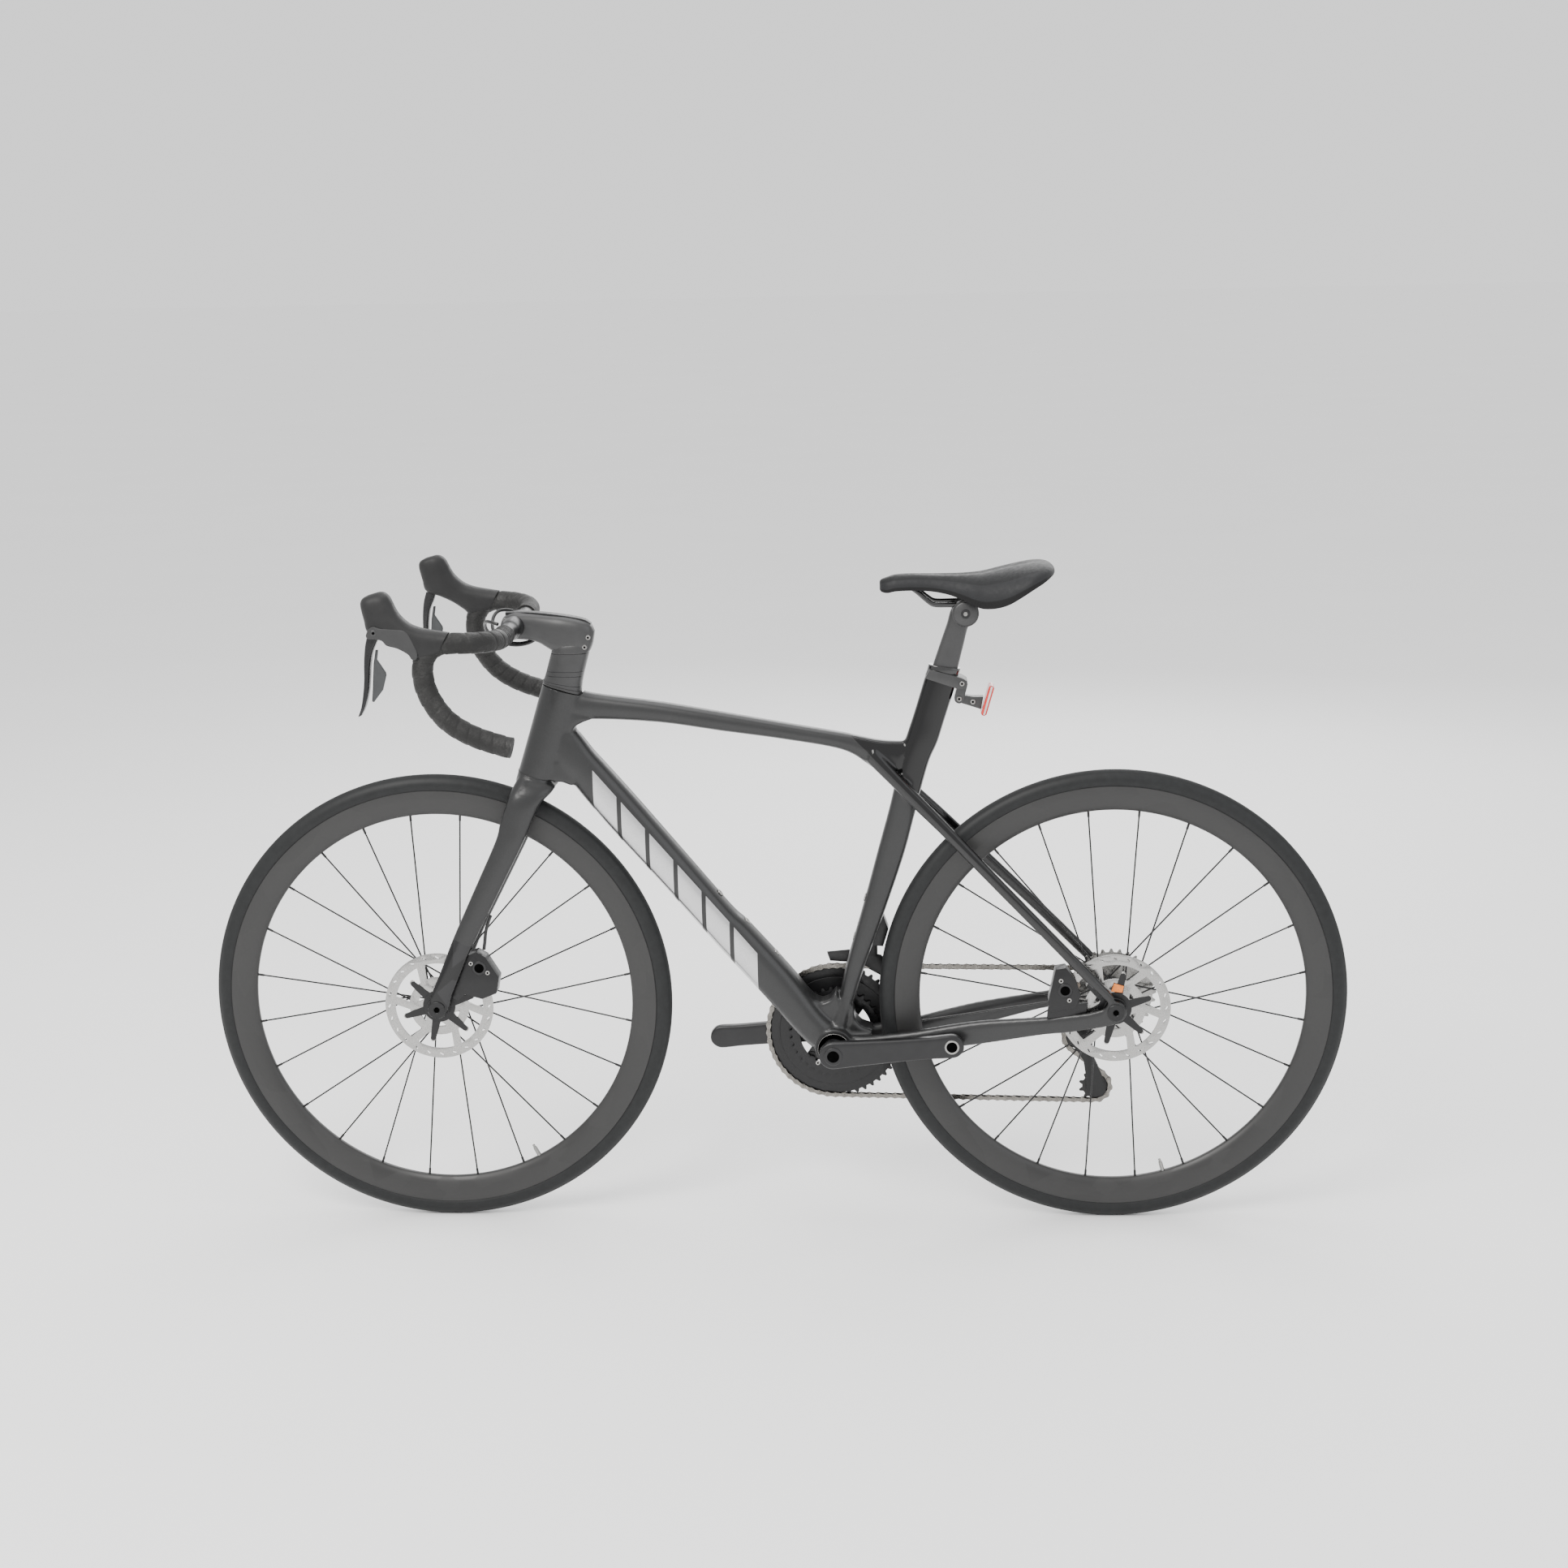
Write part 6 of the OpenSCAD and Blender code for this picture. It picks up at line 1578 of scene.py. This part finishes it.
class BICYCLE_OT_cranks(bpy.types.Operator):
    """Shape both crank arms with their axle cap, pinch bolts and pedal eyes, and the toothed rings"""
    bl_idname = "bicycle.cranks"
    bl_label = "Crankset"

    def execute(self, context):
        black, dark, steel = finish("arm_black"), finish("dark_hole"), finish("steel")
        grid, eye = crank_arm(-1)
        # The dark discs in the axle cap and in the pedal eye are painted shade in their holes
        parts = [shell(grid), disc(CRANK_AXLE, -ARM_IN - 2, -40.5, 17, 0.6, 64),
                 disc(CRANK_AXLE, -ARM_OUT - 1.2, -ARM_OUT + 1, 13.4, 0.8, 64, hole=8),
                 disc(CRANK_AXLE, -ARM_OUT - 1.5, -ARM_OUT + 1, 8.6, 0.1, 40, 1),
                 disc(eye, -ARM_OUT - 0.6, -ARM_OUT + 1, 10.6, 0.5, 48, 2, hole=7.6),
                 disc(eye, -ARM_OUT - 0.4, -ARM_IN - 1, 7.8, 0.1, 40, 1)]
        parts += bolt((557, 262), -ARM_OUT + 4.0, 3.2, 2.4, -1, 2, 1)
        piece("crank_arm_left", parts, "crankset", [black, dark, steel], "black_alloy", ("crank_left",), 40)
        grid, eye = crank_arm(1)
        right = [shell(grid)]
        base = math.pi * 7 / 4 + CRANK_RISE
        for i in range(4):
            a = base + i * math.pi / 2
            tip = (61 * math.cos(a), 61 * math.sin(a))
            root = (18 * math.cos(a), 18 * math.sin(a))
            outline = bar_outline(root, tip, 13, 9) + np.array(CRANK_AXLE)
            right.append(plate(outline, 49.6, 56, 0.8))
            bolt_at = np.array(CRANK_AXLE) + 56 * np.array([math.cos(a), math.sin(a)])
            right += bolt(bolt_at, 56, 4.4, 1.2, 1, 2, 1)
        # The dark disc in the pedal eye is painted shade in its hole
        right += [disc(CRANK_AXLE, 48, 60, 26, 0.8, 72), disc(CRANK_AXLE, 40.5, 50, 15, 0.4, 48),
                  disc(eye, ARM_OUT - 1, ARM_OUT + 0.5, 10.6, 0.5, 48, hole=7.6),
                  disc(eye, ARM_IN + 1, ARM_OUT + 0.1, 7.8, 0.1, 40, 1)]
        piece("crank_arm_right", right, "crankset", [black, dark, steel], "black_alloy", ("crank_right",), 40)
        finished("chainrings", "crankset", "satin_black", "black_alloy", 0.0003)
        piece("chainring_web", [disc(CRANK_AXLE, 46.2, 47.4, 84, 0.3, 128, hole=58)], "crankset",
              [finish("satin_black")], "black_alloy")
        finished("crank_spindle", "crankset", "steel", "steel", 0.0008)
        finished("cassette", "cassette", "steel", "steel", 0.0002)
        return {"FINISHED"}


CHAIN_PITCH = 12.7
LOOP = [[*CRANK_AXLE, 101.13, 1], [*REAR_AXLE, 28.54, 1], [941, 262, 22.54, -1], [965.5, 185, 22.54, 1]]


def chain_line():
    """The chain's centre line as an even row of points one pitch apart, round its four toothed wheels."""
    wheels = np.array(LOOP, float)
    nxt = np.roll(wheels, -1, 0)
    d = nxt[:, :2] - wheels[:, :2]
    offset = (wheels[:, 3] * wheels[:, 2] - nxt[:, 3] * nxt[:, 2]) / np.linalg.norm(d, axis=1)
    run = np.arctan2(d[:, 1], d[:, 0]) - np.arcsin(offset)
    points = []
    for i, (x, z, r, sign) in enumerate(wheels):
        start, gap = run[i - 1], run[i] - run[i - 1]
        sweep_angle = -((-gap) % (2 * np.pi)) if sign > 0 else gap % (2 * np.pi)
        a = start + sweep_angle * np.linspace(0, 1, 60)
        points.append(np.array([x, z]) + sign * r * np.stack([-np.sin(a), np.cos(a)], 1))
    line = np.vstack(points)
    line = np.vstack([line, line[:1]])
    length = np.concatenate([[0], np.cumsum(np.linalg.norm(np.diff(line, axis=0), axis=1))])
    count = 2 * int(round(length[-1] / CHAIN_PITCH / 2))
    spots = np.linspace(0, length[-1], count, endpoint=False)
    return np.stack([np.interp(spots, length, line[:, k]) for k in (0, 1)], 1)


class BICYCLE_OT_chain(bpy.types.Operator):
    """Lay the chain link by link round its four toothed wheels: outer and inner plates, rollers and pins"""
    bl_idname = "bicycle.chain"
    bl_label = "Chain"

    def execute(self, context):
        pins = chain_line()
        step = np.roll(pins, -1, 0) - pins
        angle = np.arctan2(step[:, 1], step[:, 0])
        outline = np.array([[-4.1, 0], [-3.2, 2.9], [0, 4.1], [3.6, 3.2], [6.35, 2.5], [9.1, 3.2],
                            [12.7, 4.1],
                            [15.9, 2.9], [16.8, 0], [15.9, -2.9], [12.7, -4.1], [9.1, -3.2], [6.35, -2.5],
                            [3.6, -3.2], [0, -4.1], [-3.2, -2.9]])

        def link_plate(y0, y1):
            part = plate(outline, y0, y1, 0.25)
            fan = [[f[0], f[i], f[i + 1], f[i + 2]] for f in part["n"] for i in range(1, len(f) - 2, 2)]
            fan = np.array(fan)
            uv = part["v"][fan][:, :, [0, 2]]
            return {"v": part["v"], "q": np.vstack([part["q"], fan]), "t": part["t"],
                      "quv": np.vstack([part["quv"], uv]), "tuv": part["tuv"], "m": 0}

        def placed(index):
            turns, shifts = [], []
            for i in index:
                c, s = math.cos(angle[i]), math.sin(angle[i])
                turns.append([[c, 0, -s], [0, 1, 0], [s, 0, c]])
                shifts.append(at([pins[i][0], CHAIN_Y, pins[i][1]]))
            return list(zip(turns, shifts))

        half = at([0, 0, 0])[0]

        def local(part):
            part = dict(part)
            part["v"] = part["v"] - (half, 0, 0)
            return part

        even, odd, every = range(0, len(pins), 2), range(1, len(pins), 2), range(len(pins))
        parts = []
        for sign in (1, -1):
            low, high = sorted((sign * 2.0, sign * 2.8))
            parts.append(repeat(local(link_plate(low, high)), placed(even)))
            low, high = sorted((sign * 1.15, sign * 1.95))
            parts.append(repeat(local(link_plate(low, high)), placed(odd)))
        roller = local(disc((0, 0), -1.2, 1.2, 3.5, 0.3, 12))
        pin = local(disc((0, 0), -3.1, 3.1, 1.7, 0.2, 10))
        parts += [repeat(roller, placed(every)), repeat(pin, placed(every))]
        piece("chain_links", parts, "frame", [finish("chain_steel")], "steel", ("chain",), 30)
        return {"FINISHED"}


class BICYCLE_OT_derailleurs(bpy.types.Operator):
    """Finish both derailleurs, the rear one's links, cage and pulleys, and the small steel fittings"""
    bl_idname = "bicycle.derailleurs"
    bl_label = "Derailleurs and Fittings"

    def execute(self, context):
        for node, body, look, slot, width in (
                ("fd_body", "frame", "satin_black", "black_alloy", 0.0008),
                ("fd_cage", "fd_cage", "arm_black", "steel", 0.0003),
                ("rd_body", "frame", "satin_black", "black_alloy", 0.0008),
                ("rd_link_outer", "rd_link_outer", "satin_black", "black_alloy", 0.0006),
                ("rd_link_inner", "rd_link_inner", "satin_black", "black_alloy", 0.0006),
                ("rd_knuckle", "rd_knuckle", "satin_black", "black_alloy", 0.0008),
                ("rd_cage", "rd_cage", "satin_black", "black_alloy", 0.0004),
                ("guide_pulley", "guide_pulley", "matte_black", "pulley", 0.0003),
                ("tension_pulley", "tension_pulley", "matte_black", "pulley", 0.0003),
                ("frame_bearings", "frame", "matte_black", "steel", 0.0002),
                ("bottle_bosses", "frame", "steel", "steel", 0.0005)):
            finished(node, body, look, slot, width)
        tag = plate([[980, 366], [984, 378], [998, 374], [996, 364]], -59.6, -58.2, 0.3)
        piece("amber_tag", [tag], "rear_wheel", [finish("amber")], "red_lens")
        return {"FINISHED"}


# ---- Stage ----

LENS_MM = 55.633
EYE = (0.224346, -3.409919, 1.428586)
RIGHT = (0.998253, 0.055721, -0.019754)
UP = (0.007032, 0.219843, 0.975510)
BACK = (0.05870, -0.97394, 0.21907)
ROOM_LIGHT = 1.25
FLOOR_HALF = 60.0


class BICYCLE_OT_stage(bpy.types.Operator):
    """Set the camera, the pale floor and the soft studio lights"""
    bl_idname = "bicycle.stage"
    bl_label = "Camera and Lights"

    def execute(self, context):
        scene = context.scene
        cam = bpy.data.objects.new("camera", bpy.data.cameras.new("camera"))
        scene.collection.objects.link(cam)
        cam.data.sensor_width, cam.data.lens = 36, LENS_MM
        cam.data.clip_end = 200
        cam.matrix_world = Matrix(np.vstack([np.column_stack([RIGHT, UP, BACK, EYE]), [0, 0, 0, 1]]).tolist())
        scene.camera = cam
        world = bpy.data.worlds.new("studio")
        world.use_nodes = True
        sky = world.node_tree.nodes["Background"]
        sky.inputs["Color"].default_value = (1, 1, 1, 1)
        sky.inputs["Strength"].default_value = ROOM_LIGHT
        scene.world = world
        mesh = bpy.data.meshes.new("floor")
        s = FLOOR_HALF
        mesh.from_pydata([(-s, -s, 0), (s, -s, 0), (s, s, 0), (-s, s, 0)], [], [(0, 1, 2, 3)])
        floor = bpy.data.objects.new("floor", mesh)
        scene.collection.objects.link(floor)
        mesh.materials.append(finish("floor"))
        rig.stage(floor)
        lights = (("key", (-1.6, -2.6, 3.4), 2.2, 150, (1, 0.985, 0.96)),
                  ("fill", (2.8, -2.2, 2.2), 3.0, 25, (0.93, 0.96, 1)),
                  ("top", (0, 0.4, 4.2), 3.0, 60, (1, 1, 1)),
                  ("back", (0.6, 3.4, 2.4), 3.0, 60, (1, 1, 1)))
        for name, place, size, watts, colour in lights:
            data = bpy.data.lights.new(name, "AREA")
            data.shape, data.size, data.energy, data.color = "DISK", size, watts, colour
            lamp = bpy.data.objects.new(name, data)
            lamp.location = place
            lamp.rotation_euler = (Vector((0, 0, 0.5)) - Vector(place)).to_track_quat("-Z", "Y").to_euler()
            scene.collection.objects.link(lamp)
        return {"FINISHED"}


# ---- Add-on ----

OPERATORS = (
    BICYCLE_OT_stage, BICYCLE_OT_hoses, BICYCLE_OT_frame, BICYCLE_OT_fork, BICYCLE_OT_stem, BICYCLE_OT_bar,
    BICYCLE_OT_hoods, BICYCLE_OT_levers, BICYCLE_OT_saddle, BICYCLE_OT_seatpost, BICYCLE_OT_rear_lamp,
    BICYCLE_OT_wheels, BICYCLE_OT_axles, BICYCLE_OT_brakes, BICYCLE_OT_cranks, BICYCLE_OT_chain,
    BICYCLE_OT_derailleurs)


class BICYCLE_PT_panel(bpy.types.Panel):
    """Builds the bicycle's finished pieces one group at a time"""
    bl_idname = "BICYCLE_PT_panel"
    bl_label = "Bicycle"
    bl_space_type = "VIEW_3D"
    bl_region_type = "UI"
    bl_category = "Bicycle"

    def draw(self, context):
        layout = self.layout
        for name in BicycleSettings.__annotations__:
            layout.prop(context.scene.bicycle, name)
        layout.separator()
        for operator in OPERATORS:
            layout.operator(operator.bl_idname)


CLASSES = (BicycleSettings, *OPERATORS, BICYCLE_PT_panel)


def register():
    for cls in CLASSES:
        bpy.utils.register_class(cls)
    bpy.types.Scene.bicycle = PointerProperty(type=BicycleSettings)


def unregister():
    del bpy.types.Scene.bicycle
    for cls in reversed(CLASSES):
        bpy.utils.unregister_class(cls)


def main():
    register()
    for operator in OPERATORS:
        group, name = operator.bl_idname.split(".")
        result = getattr(getattr(bpy.ops, group), name)()
        if result != {"FINISHED"}:
            raise RuntimeError(f"{operator.bl_idname} did not finish")
    boxes = {"CAD box": CAD_BOX, "new box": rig.bounds()}
    sizes = {name: [[round(float(v), 6) for v in corner] for corner in box] for name, box in boxes.items()}
    with open("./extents.json", "w") as out:
        json.dump(sizes, out, indent=1)


if __name__ == "__main__":
    main()
